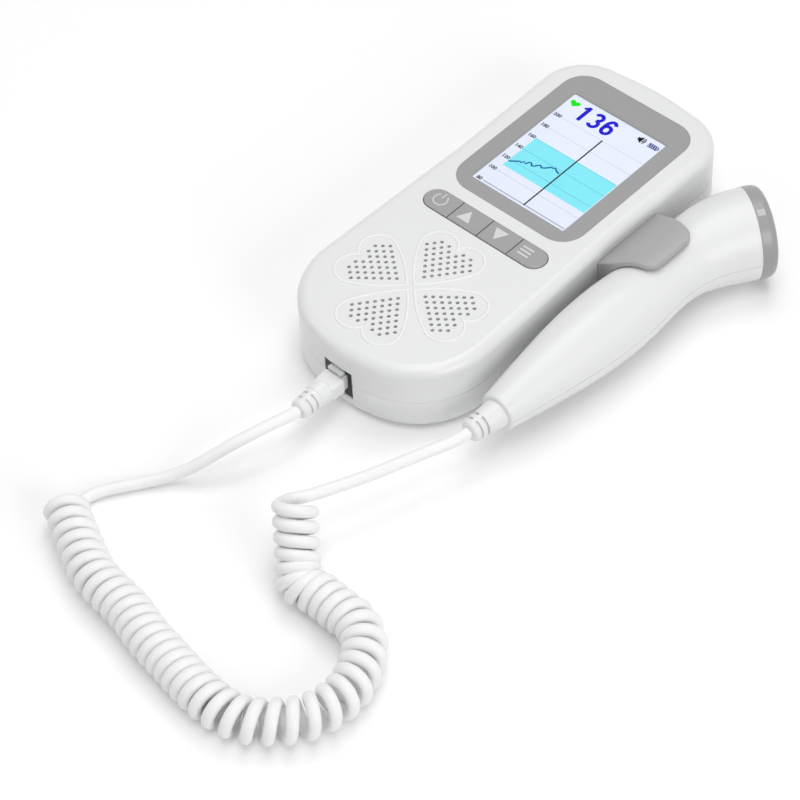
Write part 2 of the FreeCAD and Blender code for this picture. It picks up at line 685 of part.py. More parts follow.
def plug_latch():
    """Spring tab that slopes back from the nose over the plug, with a broad thumb end."""
    top = PLUG_Z + PLUG_HEIGHT / 2
    tail_y = BOOT_FACE_Y + 0.1
    profile = Part.makePolygon([
        V(0, PLUG_NOSE_Y - 0.6, top + 0.02), V(0, PLUG_NOSE_Y - 0.6, top + 0.95),
        V(0, PLUG_NOSE_Y - 6.5, top + 1.75), V(0, PLUG_NOSE_Y - 6.9, top + 1.35),
        V(0, tail_y, top + LATCH_RISE), V(0, tail_y, top + 1.2),
        V(0, PLUG_NOSE_Y - 2.6, top + 0.02), V(0, PLUG_NOSE_Y - 0.6, top + 0.02),
    ])
    tab = Part.Face(profile).extrude(V(LATCH_TAIL_WIDTH, 0, 0))
    tab.translate(V(JACK_X - LATCH_TAIL_WIDTH / 2, 0, 0))
    narrow = box(V(JACK_X - LATCH_WIDTH / 2, BOOT_FACE_Y, 0),
                 V(JACK_X + LATCH_WIDTH / 2, PLUG_NOSE_Y, THICKNESS))
    thumb = box(V(JACK_X - PLUG_WIDTH, BOOT_FACE_Y, 0),
                V(JACK_X + PLUG_WIDTH, BOOT_FACE_Y + LATCH_TAIL, THICKNESS))
    return tab.common(fused(narrow, thumb))


def side_grooves(places, width, radius, depth, start, way):
    """Cuts round a sleeve at each place along it, joined by a web above and below."""
    cuts = []
    for place in places:
        near = start + way * place
        far = near + way * width
        ring = rod(radius + 2, near, far).cut(rod(radius - depth, near, far))
        web = box(near + V(-0.7, -3, -radius - 3), near + V(0.7, 3, radius + 3))
        cuts.append(ring.cut(web))
    return Part.makeCompound(cuts)


def plug_boot():
    """Moulded boot: a soft-cornered block, then a slightly tapered sleeve with side grooves."""
    face = rectangle(BOOT_WIDTH, BOOT_HEIGHT, 0.9, 0, 0, 0)
    back = rectangle(BOOT_WIDTH - 0.3, BOOT_HEIGHT, 1.6, 0, 0, BOOT_BLOCK)
    neck = rectangle(7.0, 6.4, 2.8, 0, 0, BOOT_BLOCK + 0.9)
    block = Part.makeLoft([face, back, neck], True, True)
    block.Placement = FreeCAD.Placement(V(JACK_X, BOOT_FACE_Y, PLUG_Z), FreeCAD.Rotation(V(1, 0, 0), 90))
    start, way = V(JACK_X, BOOT_FACE_Y, PLUG_Z), V(0, -1, 0)
    length = BOOT_FACE_Y - BOOT_END_Y
    sleeve = turned([
        (BOOT_BLOCK - 0.4, 4.3), (BOOT_BLOCK + 0.2, 4.55), (10.3, 4.45), (10.5, 4.2),
        (length - 1.3, 3.9), (length - 0.5, 3.6), (length, 2.9),
    ], start, way)
    sleeve = sleeve.cut(side_grooves((12.3, 15.0), 0.8, 4.1, 0.9, start, way))
    return fused(block, sleeve)


# ---------------------------------------------------------------- batteries
def battery_cell(side):
    """One cell with its raised terminal; the two lie head to tail."""
    x = side * CELL_PITCH / 2
    tail_y = -15.2 if side < 0 else -15.2 - CELL_LENGTH
    way = V(0, -1, 0) if side < 0 else V(0, 1, 0)
    body = [(0, 5.0), (0.6, CELL_RADIUS), (CELL_LENGTH - 1.8, CELL_RADIUS),
            (CELL_LENGTH - 1.2, 5.6), (CELL_LENGTH - 1.2, 2.7), (CELL_LENGTH, 2.6)]
    return turned(body, V(x, tail_y, CELL_Z), way)


def battery_contacts():
    """Spring plates at the bay's two ends."""
    plates = []
    for x in (-CELL_PITCH / 2, CELL_PITCH / 2):
        for y, way in ((BAY_NEAR_Y - 0.5, -1), (BAY_FAR_Y, 1)):
            plates.append(box(V(x - 5, y, 5), V(x + 5, y + 0.5, 14)))
            coil_y = y if way < 0 else y + 0.5
            plates[-1] = fused(plates[-1], turned([(0, 4.2), (1.2, 3.0), (2.1, 1.8)],
                                                  V(x, coil_y, CELL_Z), V(0, way, 0)))
    return Part.makeCompound(plates)


def battery_cover():
    """Lift-off cover: ribbed plate with two hooks and a finger catch."""
    plate = cover_plate(COVER_GAP, COVER_RECESS, COVER_RECESS + COVER_THICKNESS)
    plate = plate.makeChamfer(0.3, edges_at(plate, COVER_RECESS))
    middle = (BAY_NEAR_Y + BAY_FAR_Y) / 2
    rib = box(V(-0.7, middle - 22, 1.5), V(0.7, middle + 22, HOOK_TOP - 1.2))
    hooks = []
    half = HOOK_WIDTH / 2
    for x in HOOK_PLACES:
        neck = box(V(x - half, BAY_NEAR_Y - 2.2, 1.5), V(x + half, BAY_NEAR_Y - 0.6, HOOK_TOP))
        tongue = box(V(x - half, BAY_NEAR_Y - 2.2, 2.5), V(x + half, BAY_NEAR_Y + HOOK_REACH, HOOK_TOP))
        hooks += [neck, tongue]
    cover = fused(plate, rib, *hooks)
    for row in range(GRIP_COUNT):
        y = BAY_FAR_Y + 4 + row * GRIP_PITCH
        cover = cover.cut(box(V(-6, y, -1), V(6, y + 0.8, COVER_RECESS + 0.5)))
    return cover


# ---------------------------------------------------------------- probe
def probe_at(distance):
    """(point, heading) of the probe's middle line at a distance from its tail."""
    heading = math.radians(90 - PROBE_HEADING)
    way = V(math.cos(heading), math.sin(heading), 0)
    if distance <= PROBE_STRAIGHT:
        return PROBE_TAIL + way * distance, way
    bend_length = PROBE_BEND_RADIUS * math.radians(PROBE_BEND)
    along = min(distance - PROBE_STRAIGHT, bend_length)
    turn = along / PROBE_BEND_RADIUS
    outward = V(way.y, -way.x, 0)
    centre = PROBE_TAIL + way * PROBE_STRAIGHT + outward * PROBE_BEND_RADIUS
    arm = outward * (-math.cos(turn)) + way * math.sin(turn)
    now = way * math.cos(turn) + outward * math.sin(turn)
    return centre + arm * PROBE_BEND_RADIUS + now * (distance - PROBE_STRAIGHT - along), now


def handle_profile(inset):
    """Meridian of the handle, from its narrow tail over its belly to its neck."""
    points = [V(radius - inset, 0, distance) for distance, radius in PROBE_HANDLE_RADII]
    curve = Part.BSplineCurve()
    curve.interpolate(points)
    axis_start, axis_end = V(0, 0, 0), V(0, 0, PROBE_STRAIGHT)
    return Part.Wire([
        Part.LineSegment(axis_start, points[0]).toShape(),
        curve.toShape(),
        Part.LineSegment(points[-1], axis_end).toShape(),
        Part.LineSegment(axis_end, axis_start).toShape(),
    ])


def probe_form(inset):
    """The probe's outer form, moved in by inset: turned handle, lofted bend to the head."""
    handle = Part.Face(handle_profile(inset)).revolve(V(0, 0, 0), UP, 360)
    tail, way = probe_at(0)
    handle.Placement = FreeCAD.Placement(tail, FreeCAD.Rotation(UP, way))
    rings = []
    for distance, radius in PROBE_HEAD_SECTIONS:
        point, way = probe_at(distance)
        rings.append(Part.Wire(Part.Circle(point, way, radius - inset).toShape()))
    return handle.fuse(Part.makeLoft(rings, True, False))


def probe_cavity():
    """Room for the board along the handle and the crystals in the head."""
    start, _ = probe_at(10.0)
    end, handle_way = probe_at(PROBE_STRAIGHT)
    handle = rod(PROBE_CAVITY_RADIUS, start, end + handle_way * 10)
    mouth, way = probe_at(CAP_START)
    head = rod(12.5, mouth - way * 9, mouth + way * 2)
    neck = rod(6.0, mouth - way * 24, mouth)
    tail, tail_way = probe_at(0)
    cord_way = rod(CORD_DIAMETER / 2 + 0.3, tail - tail_way, tail + tail_way * 12)
    return handle.fuse([head, neck, cord_way])


def probe_seam():
    """Fine groove round the probe where its halves meet."""
    z = PROBE_TAIL.z
    slab = box(V(30, -80, z - 0.12), V(100, 80, z + 0.12))
    return slab.cut(probe_form(0.5))


def probe_shell(side):
    """One half of the probe's case."""
    form = probe_form(0)
    tail_edges = [e for e in form.Edges if e.BoundBox.YMax < PROBE_TAIL.y + 0.5
                  and abs(e.Curve.Radius - PROBE_TAIL_RADIUS) < 0.01]
    form = form.makeFillet(TAIL_RIM, tail_edges)
    z = PROBE_TAIL.z
    half = form.common(box(V(30, -80, min(z, z + side * 30)), V(100, 80, max(z, z + side * 30))))
    return solids_only(half.cut(probe_cavity()).cut(probe_seam()))


def probe_cap_ring():
    """Grey ring round the working face."""
    start, way = probe_at(CAP_START)
    length = PROBE_LENGTH - CAP_START
    ring = turned([
        (0, CAP_RADIUS - 0.1), (0.4, CAP_RADIUS), (length - 2.6, CAP_RADIUS - 0.05),
        (length - 1.2, CAP_RADIUS - 0.45), (length - 0.4, CAP_RADIUS - 1.1),
        (length, CAP_RADIUS - 2.0), (length, CAP_BORE),
    ], start, way)
    hollow = rod(CAP_BORE, start - way, start + way * (length + 1))
    return ring.cut(hollow)


def transducer_face():
    """Slightly domed face that touches the skin."""
    start, way = probe_at(CAP_START)
    length = PROBE_LENGTH - CAP_START
    radius = CAP_BORE - 0.02
    return turned([
        (length - 3.4, radius), (length - 0.6, radius), (length - 0.1, radius - 1.2),
        (length + 0.5, radius * 0.6), (length + 0.8, 0),
    ], start, way)


def transducer_disc():
    """Two half-moon crystals behind the face."""
    start, way = probe_at(CAP_START)
    length = PROBE_LENGTH - CAP_START
    disc = rod(10.0, start + way * (length - 4.4), start + way * (length - 3.4))
    middle = start + way * length
    out = V(way.y, -way.x, 0)
    gap = box(V(-20, -0.4, -20), V(20, 0.4, 20))
    gap.Placement = FreeCAD.Placement(middle, FreeCAD.Rotation(V(0, 1, 0), out))
    return solids_only(disc.cut(gap))


def probe_board():
    """Narrow circuit board along the handle."""
    start, way = probe_at(18)
    low = PROBE_TAIL.z - 0.8
    board = Part.makeBox(64, 13, 1.6)
    board.translate(V(0, -6.5, 0))
    turn = FreeCAD.Rotation(UP, math.degrees(math.atan2(way.y, way.x)))
    board.Placement = FreeCAD.Placement(V(start.x, start.y, low), turn).multiply(board.Placement)
    return board


def relief_axis():
    """(start, direction) of the strain relief, which leans a little from the probe's line."""
    tail, way = probe_at(0)
    lean = FreeCAD.Rotation(UP, -RELIEF_LEAN)
    return tail, lean.multVec(way * -1)


def probe_strain_relief():
    """Grooved taper where the cord enters the probe, with a spigot into the shells."""
    tail, way = probe_at(0)
    start, leaning = relief_axis()
    sleeve = turned([
        (-0.6, 5.4), (0.8, 5.35), (7.4, 4.6), (RELIEF_LENGTH - 1.4, 4.25),
        (RELIEF_LENGTH - 0.5, 3.9), (RELIEF_LENGTH, 3.0),
    ], start, leaning)
    sleeve = sleeve.cut(side_grooves((7.2, 9.9), 0.9, 4.4, 1.0, start, leaning))
    sleeve = sleeve.cut(rod(10, tail, tail + way * 5))
    return fused(sleeve, rod(CORD_DIAMETER / 2 + 0.1, tail - way * 0.5, tail + way))


# ---------------------------------------------------------------- clip
def clip_wedge(low_y, high_y):
    """The clip's root: two flat flanks that run from the wall into the cradle's round."""
    outer = CLIP_INNER + CLIP_WALL
    reach = math.hypot(CLIP_X - CLIP_ROOT_X, CLIP_ROOT_RISE)
    slope = math.asin(outer / reach) - math.atan2(CLIP_ROOT_RISE, CLIP_X - CLIP_ROOT_X)
    touch_x, touch_rise = CLIP_X - outer * math.sin(slope), outer * math.cos(slope)
    inside_x = CLIP_ROOT_X - WALL * 2
    inside_rise = CLIP_ROOT_RISE - (CLIP_ROOT_X - inside_x) * math.tan(slope)
    section = [(inside_x, -inside_rise), (inside_x, inside_rise),
               (touch_x, touch_rise), (touch_x, -touch_rise), (inside_x, -inside_rise)]
    corners = [V(x, low_y, CLIP_Z + rise) for x, rise in section]
    return Part.Face(Part.makePolygon(corners)).extrude(V(0, high_y - low_y, 0))


def clip_rim_edges(clip):
    """Edges round the cradle's outer surface, without the lines where its faces run together."""
    rim = []
    for edge in clip.Edges:
        start, end = edge.Vertexes[0].Point, edge.Vertexes[-1].Point
        upright = abs(start.x - end.x) < 0.01 and abs(start.y - end.y) < 0.01
        lengthways = abs(start.x - end.x) < 0.01 and abs(start.z - end.z) < 0.01
        at_tip = start.x > CLIP_TIP_X - 0.01
        if max(start.x, end.x) > CLIP_ROOT_X and not upright and (at_tip or not lengthways):
            rim.append(edge)
    return rim


def probe_clip():
    """Smooth cradle round the probe's neck, open on the side away from the wall."""
    low_y, high_y = 0, 46
    axis_start, axis_end = V(CLIP_X, low_y, CLIP_Z), V(CLIP_X, high_y, CLIP_Z)
    hoop = rod(CLIP_INNER + CLIP_WALL, axis_start, axis_end)
    hoop = hoop.cut(box(V(CLIP_TIP_X, low_y - 1, -10), V(90, high_y + 1, 50)))
    clip = fused(hoop, clip_wedge(low_y, high_y))
    clip = clip.common(prism(rounded_wire(CLIP_PLAN, -5), 60))
    clip = clip.makeFillet(CLIP_EDGE, clip_rim_edges(clip))
    mouth = box(V(CLIP_X, low_y - 1, CLIP_Z - CLIP_INNER), V(90, high_y + 1, CLIP_Z + CLIP_INNER))
    clip = clip.cut(rod(CLIP_INNER, axis_start, axis_end)).cut(mouth)
    clip = clip.cut(housing_slab(0, 0, THICKNESS))
    for y in CLIP_SCREW_ROWS:
        clip = clip.cut(rod(SCREW_SHANK, V(34, y, CLIP_Z), V(42.5, y, CLIP_Z)))
    return solids_only(clip)


def clip_screws():
    """Two screws from inside the housing into the clip's root."""
    screws = []
    for y in CLIP_SCREW_ROWS:
        inner = WAIST / 2 - WALL - 0.2
        screws.append(turned([(0, SCREW_HEAD), (1.4, SCREW_HEAD), (1.4, SCREW_SHANK - 0.05),
                              (8.6, SCREW_SHANK - 0.05)], V(inner - 1.6, y, CLIP_Z), V(1, 0, 0)))
    return Part.makeCompound(screws)


# ---------------------------------------------------------------- cord
def cord_path(points):
    """Straight runs joined by tangent arcs as large as the runs allow, and their radii."""
    edges, radii = [], []
    last = points[0]
    for index in range(1, len(points) - 1):
        corner, before, after = points[index], points[index - 1], points[index + 1]
        shorter = min(before.distanceToPoint(corner), corner.distanceToPoint(after))
        turn = (corner - before).getAngle(after - corner)
        radius = ARC_SHARE * shorter / math.tan(turn / 2)
        start, arc, end = tangent_arc(corner, before, after, radius)
        edges.append(Part.LineSegment(last, start).toShape())
        edges.append(arc.toShape())
        radii.append(radius)
        last = end
    edges.append(Part.LineSegment(last, points[-1]).toShape())
    return Part.Wire(edges), radii


def cord_tube(name, points, diameter):
    """Tube along a route, with its tightest bend and its volume compared with its length."""
    path, radii = cord_path(points)
    way = points[1] - points[0]
    section = Part.Wire(Part.Circle(points[0], way, diameter / 2).toShape())
    tube = path.makePipeShell([section], True, False)
    expected = math.pi * diameter ** 2 / 4 * path.Length
    print(f"{name}: length {path.Length:.1f}, radii {[round(r, 1) for r in radii]}, "
          f"volume over section times length {tube.Volume / expected:.4f}")
    return tube


def probe_lead_points():
    """Route from the strain relief's end down to the coil."""
    tail, leaning = relief_axis()
    start = tail + leaning * RELIEF_LENGTH
    return (start, start + leaning * PROBE_LEAD_START) + PROBE_LEAD_REST


# ---------------------------------------------------------------- all nodes
def all_nodes():
    """Every piece by its name."""
    nodes = {
        "front_shell": front_shell(), "rear_shell": rear_shell(), "housing_screws": housing_screws(),
        "display_bezel": display_bezel(), "display_window": display_window(),
        "display_panel": display_panel(), "display_foam": display_foam(),
        "button_pad": button_pad(), "tact_switches": tact_switches(), "main_board": main_board(),
        "speaker_frame": speaker_frame(), "speaker_cone": speaker_cone(),
        "modular_jack": modular_jack(), "jack_contacts": jack_contacts(),
        "plug_body": plug_body(), "plug_contacts": plug_contacts(),
        "plug_latch": plug_latch(), "plug_boot": plug_boot(),
        "battery_cell_left": battery_cell(-1), "battery_cell_right": battery_cell(1),
        "battery_contacts": battery_contacts(), "battery_cover": battery_cover(),
        "probe_upper_shell": probe_shell(1), "probe_lower_shell": probe_shell(-1),
        "probe_cap_ring": probe_cap_ring(), "transducer_face": transducer_face(),
        "transducer_disc": transducer_disc(), "probe_board": probe_board(),
        "probe_strain_relief": probe_strain_relief(),
        "probe_clip": probe_clip(), "clip_screws": clip_screws(),
        "cord_plug_lead": cord_tube("cord_plug_lead", PLUG_LEAD, CORD_DIAMETER),
        "cord_coil": cord_tube("cord_coil", COIL_LINE, COIL_DIAMETER),
        "cord_probe_lead": cord_tube("cord_probe_lead", probe_lead_points(), CORD_DIAMETER),
    }
    for index, name in enumerate(KEY_NAMES):
        nodes[name] = key(index)
    return nodes


def main():
    """Builds every piece and writes its STEP file."""
    os.makedirs("parts", exist_ok=True)
    for name, shape in all_nodes().items():
        shape.exportStep(f"parts/{name}.step")
        bounds = shape.BoundBox
        print(f"{name}: {len(shape.Solids)} solid(s), valid {shape.isValid()}, volume {shape.Volume:.1f}, "
              f"x {bounds.XMin:.1f} {bounds.XMax:.1f}, y {bounds.YMin:.1f} {bounds.YMax:.1f}, "
              f"z {bounds.ZMin:.1f} {bounds.ZMax:.1f}")


main()
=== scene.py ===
"""Dresses the hand-held fetal doppler monitor: finishes, lit picture, key marks and curly cord.

Metres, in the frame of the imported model: +Y points to the display end, +X to the
probe's side, +Z up. The monitor lies on its back.
"""

import logging
import math
from dataclasses import dataclass
from enum import Enum

import bpy
from mathutils import Matrix, Vector


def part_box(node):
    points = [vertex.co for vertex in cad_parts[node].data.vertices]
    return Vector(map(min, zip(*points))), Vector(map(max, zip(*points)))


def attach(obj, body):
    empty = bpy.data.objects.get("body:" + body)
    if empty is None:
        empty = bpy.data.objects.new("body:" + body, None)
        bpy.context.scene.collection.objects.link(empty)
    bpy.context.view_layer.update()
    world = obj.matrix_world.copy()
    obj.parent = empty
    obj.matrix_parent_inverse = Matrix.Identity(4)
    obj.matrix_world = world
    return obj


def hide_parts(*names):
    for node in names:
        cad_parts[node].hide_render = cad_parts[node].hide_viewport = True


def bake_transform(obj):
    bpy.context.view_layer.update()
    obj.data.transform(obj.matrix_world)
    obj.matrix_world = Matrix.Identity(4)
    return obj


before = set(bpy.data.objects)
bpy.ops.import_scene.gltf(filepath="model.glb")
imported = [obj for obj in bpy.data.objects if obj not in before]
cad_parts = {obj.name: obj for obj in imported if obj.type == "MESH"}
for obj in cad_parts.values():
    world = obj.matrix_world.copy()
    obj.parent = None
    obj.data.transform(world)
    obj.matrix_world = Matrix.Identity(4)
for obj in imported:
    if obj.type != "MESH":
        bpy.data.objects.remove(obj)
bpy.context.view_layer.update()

MM = 0.001
UP = Vector((0.0, 0.0, 1.0))
FULL_TURN = 2 * math.pi
SQUARE = ((-1, -1), (1, -1), (1, 1), (-1, 1))
LOG = logging.getLogger("monitor")

Colour = tuple[float, float, float]


class Body(Enum):
    """The bodies that pieces ride on."""

    MONITOR = "monitor"
    PROBE = "probe"
    PLUG = "plug"
    POWER = "power_button"
    RISE = "up_button"
    DROP = "down_button"
    MENU = "menu_button"


class SocketKind(Enum):
    """Kinds of socket that an effect group can have."""

    VALUE = "NodeSocketFloat"
    VECTOR = "NodeSocketVector"


VALUE, VECTOR = SocketKind.VALUE, SocketKind.VECTOR


def mm(x: float, y: float, z: float) -> Vector:
    """A point given in millimetres, in metres."""
    return Vector((x, y, z)) * MM


def grey(level: float, tint: float = 0.0) -> Colour:
    """A grey of that level, a little bluer by tint."""
    return (level, level + tint / 2, level + tint)


def settle(piece: bpy.types.Object, body: Body) -> None:
    """Rides a finished piece on its body.

    Args:
        piece: the piece.
        body: the body that it moves with.
    """
    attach(piece, body.value)
    LOG.info("%s rides on %s", piece.name, body.value)


def added(name: str, data: bpy.types.ID) -> bpy.types.Object:
    """Adds an object to the scene.

    Args:
        name: the object's name.
        data: its mesh, curve, lamp or camera.

    Returns:
        The new object.
    """
    made = bpy.data.objects.new(name, data)
    bpy.context.scene.collection.objects.link(made)
    return made


def meshed(name: str, curve: bpy.types.Curve) -> bpy.types.Mesh:
    """Turns a curve or type into a mesh.

    Args:
        name: a name for the object that holds it meanwhile.
        curve: the curve.

    Returns:
        The mesh.
    """
    holder = added(name, curve)
    bpy.context.view_layer.update()
    mesh = bpy.data.meshes.new_from_object(holder.evaluated_get(bpy.context.evaluated_depsgraph_get()))
    bpy.data.objects.remove(holder)
    return mesh


# ---------------------------------------------------------------- node sketching
class Sketch:
    """Adds nodes to a tree and joins them."""

    def __init__(self, tree: bpy.types.NodeTree) -> None:
        """Keeps the tree that the nodes go into."""
        self.tree = tree

    def feed(self, socket: bpy.types.NodeSocket, value: object) -> None:
        """Joins a socket to an output, or sets its constant.

        Args:
            socket: the input to fill.
            value: another node's output, or a plain value.
        """
        if isinstance(value, bpy.types.NodeSocket):
            self.tree.links.new(value, socket)
        else:
            socket.default_value = value

    def add(self, kind: str, inputs: dict | None = None, **settings: object) -> bpy.types.Node:
        """Adds one node.

        Args:
            kind: the node's type name.
            inputs: what to feed, by socket name or number.
            settings: attributes of the node itself.

        Returns:
            The new node.
        """
        node = self.tree.nodes.new(kind)
        for name, value in settings.items():
            setattr(node, name, value)
        for key, value in (inputs or {}).items():
            self.feed(node.inputs[key], value)
        return node

    def maths(self, operation: str, first: object, second: object = 0.0) -> bpy.types.NodeSocket:
        """The result of one sum on two values or outputs."""
        return self.add("ShaderNodeMath", {0: first, 1: second}, operation=operation).outputs[0]

    def spread(self, value: object, source: tuple[float, float],
               target: tuple[float, float]) -> bpy.types.NodeSocket:
        """Moves a value from one range to another and holds it inside.

        Args:
            value: a number or an output.
            source: the range that it comes from.
            target: the range that it is moved to.

        Returns:
            The moved value's output.
        """
        inputs = {"Value": value, "From Min": source[0], "From Max": source[1],
                  "To Min": target[0], "To Max": target[1]}
        return self.add("ShaderNodeMapRange", inputs, clamp=True).outputs["Result"]

    def noise(self, where: object, per_metre: object, detail: float = 2.0) -> bpy.types.NodeSocket:
        """Noise from 0 to 1 with so many features to a metre."""
        inputs = {"Vector": where, "Scale": per_metre, "Detail": detail}
        return self.add("ShaderNodeTexNoise", inputs).outputs[0]

    def coordinate(self, vector: object, letter: str) -> bpy.types.NodeSocket:
        """One coordinate, X, Y or Z, of a vector."""
        return self.add("ShaderNodeSeparateXYZ", {0: vector}).outputs[letter]

    def mixed(self, share: object, first: object, second: object) -> bpy.types.NodeSocket:
        """A colour between two.

        Args:
            share: how much of the second, from 0 to 1.
            first: the colour at 0.
            second: the colour at 1.

        Returns:
            The mixed colour's output.
        """
        node = self.add("ShaderNodeMix", data_type="RGBA")
        self.feed(node.inputs[0], share)
        self.feed(node.inputs[6], first)
        self.feed(node.inputs[7], second)
        return node.outputs[2]


class EffectGroup:
    """A shared effect as a node group with named sockets."""

    def __init__(self, name: str, inputs: dict[str, SocketKind], outputs: dict[str, SocketKind]) -> None:
        """Makes the empty group.

        Args:
            name: what the group is called.
            inputs: its inputs and their kinds.
            outputs: its outputs and their kinds.
        """
        self.tree = bpy.data.node_groups.new(name, "ShaderNodeTree")
        for label, kind in inputs.items():
            self.tree.interface.new_socket(label, in_out="INPUT", socket_type=kind.value)
        for label, kind in outputs.items():
            self.tree.interface.new_socket(label, in_out="OUTPUT", socket_type=kind.value)
        self.sketch = Sketch(self.tree)
        self.given = self.tree.nodes.new("NodeGroupInput").outputs
        self.result = self.tree.nodes.new("NodeGroupOutput").inputs

    def put_out(self, label: str, value: object) -> None:
        """Sends a value to one of the group's outputs."""
        self.sketch.feed(self.result[label], value)


class Effects:
    """The effect groups that more than one finish uses, each built once."""

    WAVES_PER_METRE = 55.0
    CLOUDS_PER_METRE = 28.0
    SMUDGES_PER_METRE = 190.0
    SPECKS_PER_METRE = 2600.0
    BEVEL_SAMPLES = 6
    LINE_STRETCH = (1.0, 0.06, 1.0)

    def __init__(self) -> None:
        """Builds every group."""
        self.moulded_skin = self.build_moulded_skin()
        self.rounded_edge = self.build_rounded_edge()
        self.settled_dust = self.build_settled_dust()
        self.drawn_lines = self.build_drawn_lines()
        self.height_band = self.build_height_band()

    def build_moulded_skin(self) -> bpy.types.NodeTree:
        """Fine grain, shallow sink waves, colour drift and handling smudges of moulded plastic.

        Returns:
            The group, with Tint, Gloss Drift and Height outputs.
        """
        group = EffectGroup("moulded_skin", {
            "Place": VECTOR, "Grain Per Metre": VALUE, "Grain Depth": VALUE, "Wave Depth": VALUE,
            "Drift": VALUE, "Smudge": VALUE,
        }, {"Tint": VALUE, "Gloss Drift": VALUE, "Height": VALUE})
        draw, given = group.sketch, group.given
        grain = draw.noise(given["Place"], given["Grain Per Metre"], 3.0)
        waves = draw.noise(given["Place"], self.WAVES_PER_METRE, 1.0)
        clouds = draw.noise(given["Place"], self.CLOUDS_PER_METRE, 3.0)
        smudges = draw.noise(given["Place"], self.SMUDGES_PER_METRE, 4.0)
        height = draw.maths("ADD", draw.maths("MULTIPLY", grain, given["Grain Depth"]),
                            draw.maths("MULTIPLY", waves, given["Wave Depth"]))
        centred = draw.maths("SUBTRACT", clouds, 0.5)
        group.put_out("Tint", draw.maths("ADD", 1.0, draw.maths("MULTIPLY", centred, given["Drift"])))
        patch = draw.spread(smudges, (0.45, 0.75), (0.0, 1.0))
        group.put_out("Gloss Drift", draw.maths("MULTIPLY", patch, given["Smudge"]))
        group.put_out("Height", height)
        return group.tree

    def build_rounded_edge(self) -> bpy.types.NodeTree:
        """The small radius that a moulding's or a stamping's edges have.

        Returns:
            The group, with a Normal output and an Edge mask.
        """
        group = EffectGroup("rounded_edge", {"Radius": VALUE, "Normal": VECTOR},
                            {"Normal": VECTOR, "Edge": VALUE})
        draw, given = group.sketch, group.given
        bevel = draw.add("ShaderNodeBevel", {"Radius": given["Radius"], "Normal": given["Normal"]},
                         samples=self.BEVEL_SAMPLES)
        flat = draw.add("ShaderNodeNewGeometry").outputs["Normal"]
        match = draw.add("ShaderNodeVectorMath", {0: bevel.outputs[0], 1: flat}, operation="DOT_PRODUCT")
        group.put_out("Normal", bevel.outputs[0])
        group.put_out("Edge", draw.spread(match.outputs["Value"], (0.97, 0.75), (0.0, 1.0)))
        return group.tree

    def build_settled_dust(self) -> bpy.types.NodeTree:
        """A thin scatter of specks on faces that look up.

        Returns:
            The group, with a Dust mask.
        """
        group = EffectGroup("settled_dust", {"Place": VECTOR, "Amount": VALUE}, {"Dust": VALUE})
        draw, given = group.sketch, group.given
        noise = draw.noise(given["Place"], self.SPECKS_PER_METRE, 1.0)
        specks = draw.spread(noise, (0.72, 0.8), (0.0, 1.0))
        upward = draw.coordinate(draw.add("ShaderNodeNewGeometry").outputs["Normal"], "Z")
        facing = draw.spread(upward, (0.3, 0.95), (0.0, 1.0))
        group.put_out("Dust", draw.maths("MULTIPLY", draw.maths("MULTIPLY", specks, facing), given["Amount"]))
        return group.tree

    def build_drawn_lines(self) -> bpy.types.NodeTree:
        """Fine lines drawn along one direction, as in rolled or brushed metal.

        Returns:
            The group, with a Lines output from 0 to 1.
        """
        group = EffectGroup("drawn_lines", {"Place": VECTOR, "Per Metre": VALUE}, {"Lines": VALUE})
        draw, given = group.sketch, group.given
        inputs = {0: given["Place"], 1: self.LINE_STRETCH}
        drawn = draw.add("ShaderNodeVectorMath", inputs, operation="MULTIPLY").outputs["Vector"]
        group.put_out("Lines", draw.noise(drawn, given["Per Metre"], 4.0))
        return group.tree

    def build_height_band(self) -> bpy.types.NodeTree:
        """Picks out what lies between two heights.

        Returns:
            The group, with a Mask that is 1 inside the band.
        """
        group = EffectGroup("height_band", {"Place": VECTOR, "Low": VALUE, "High": VALUE}, {"Mask": VALUE})
        draw, given = group.sketch, group.given
        height = draw.coordinate(given["Place"], "Z")
        above = draw.maths("GREATER_THAN", height, given["Low"])
        below = draw.maths("LESS_THAN", height, given["High"])
        group.put_out("Mask", draw.maths("MULTIPLY", above, below))
        return group.tree


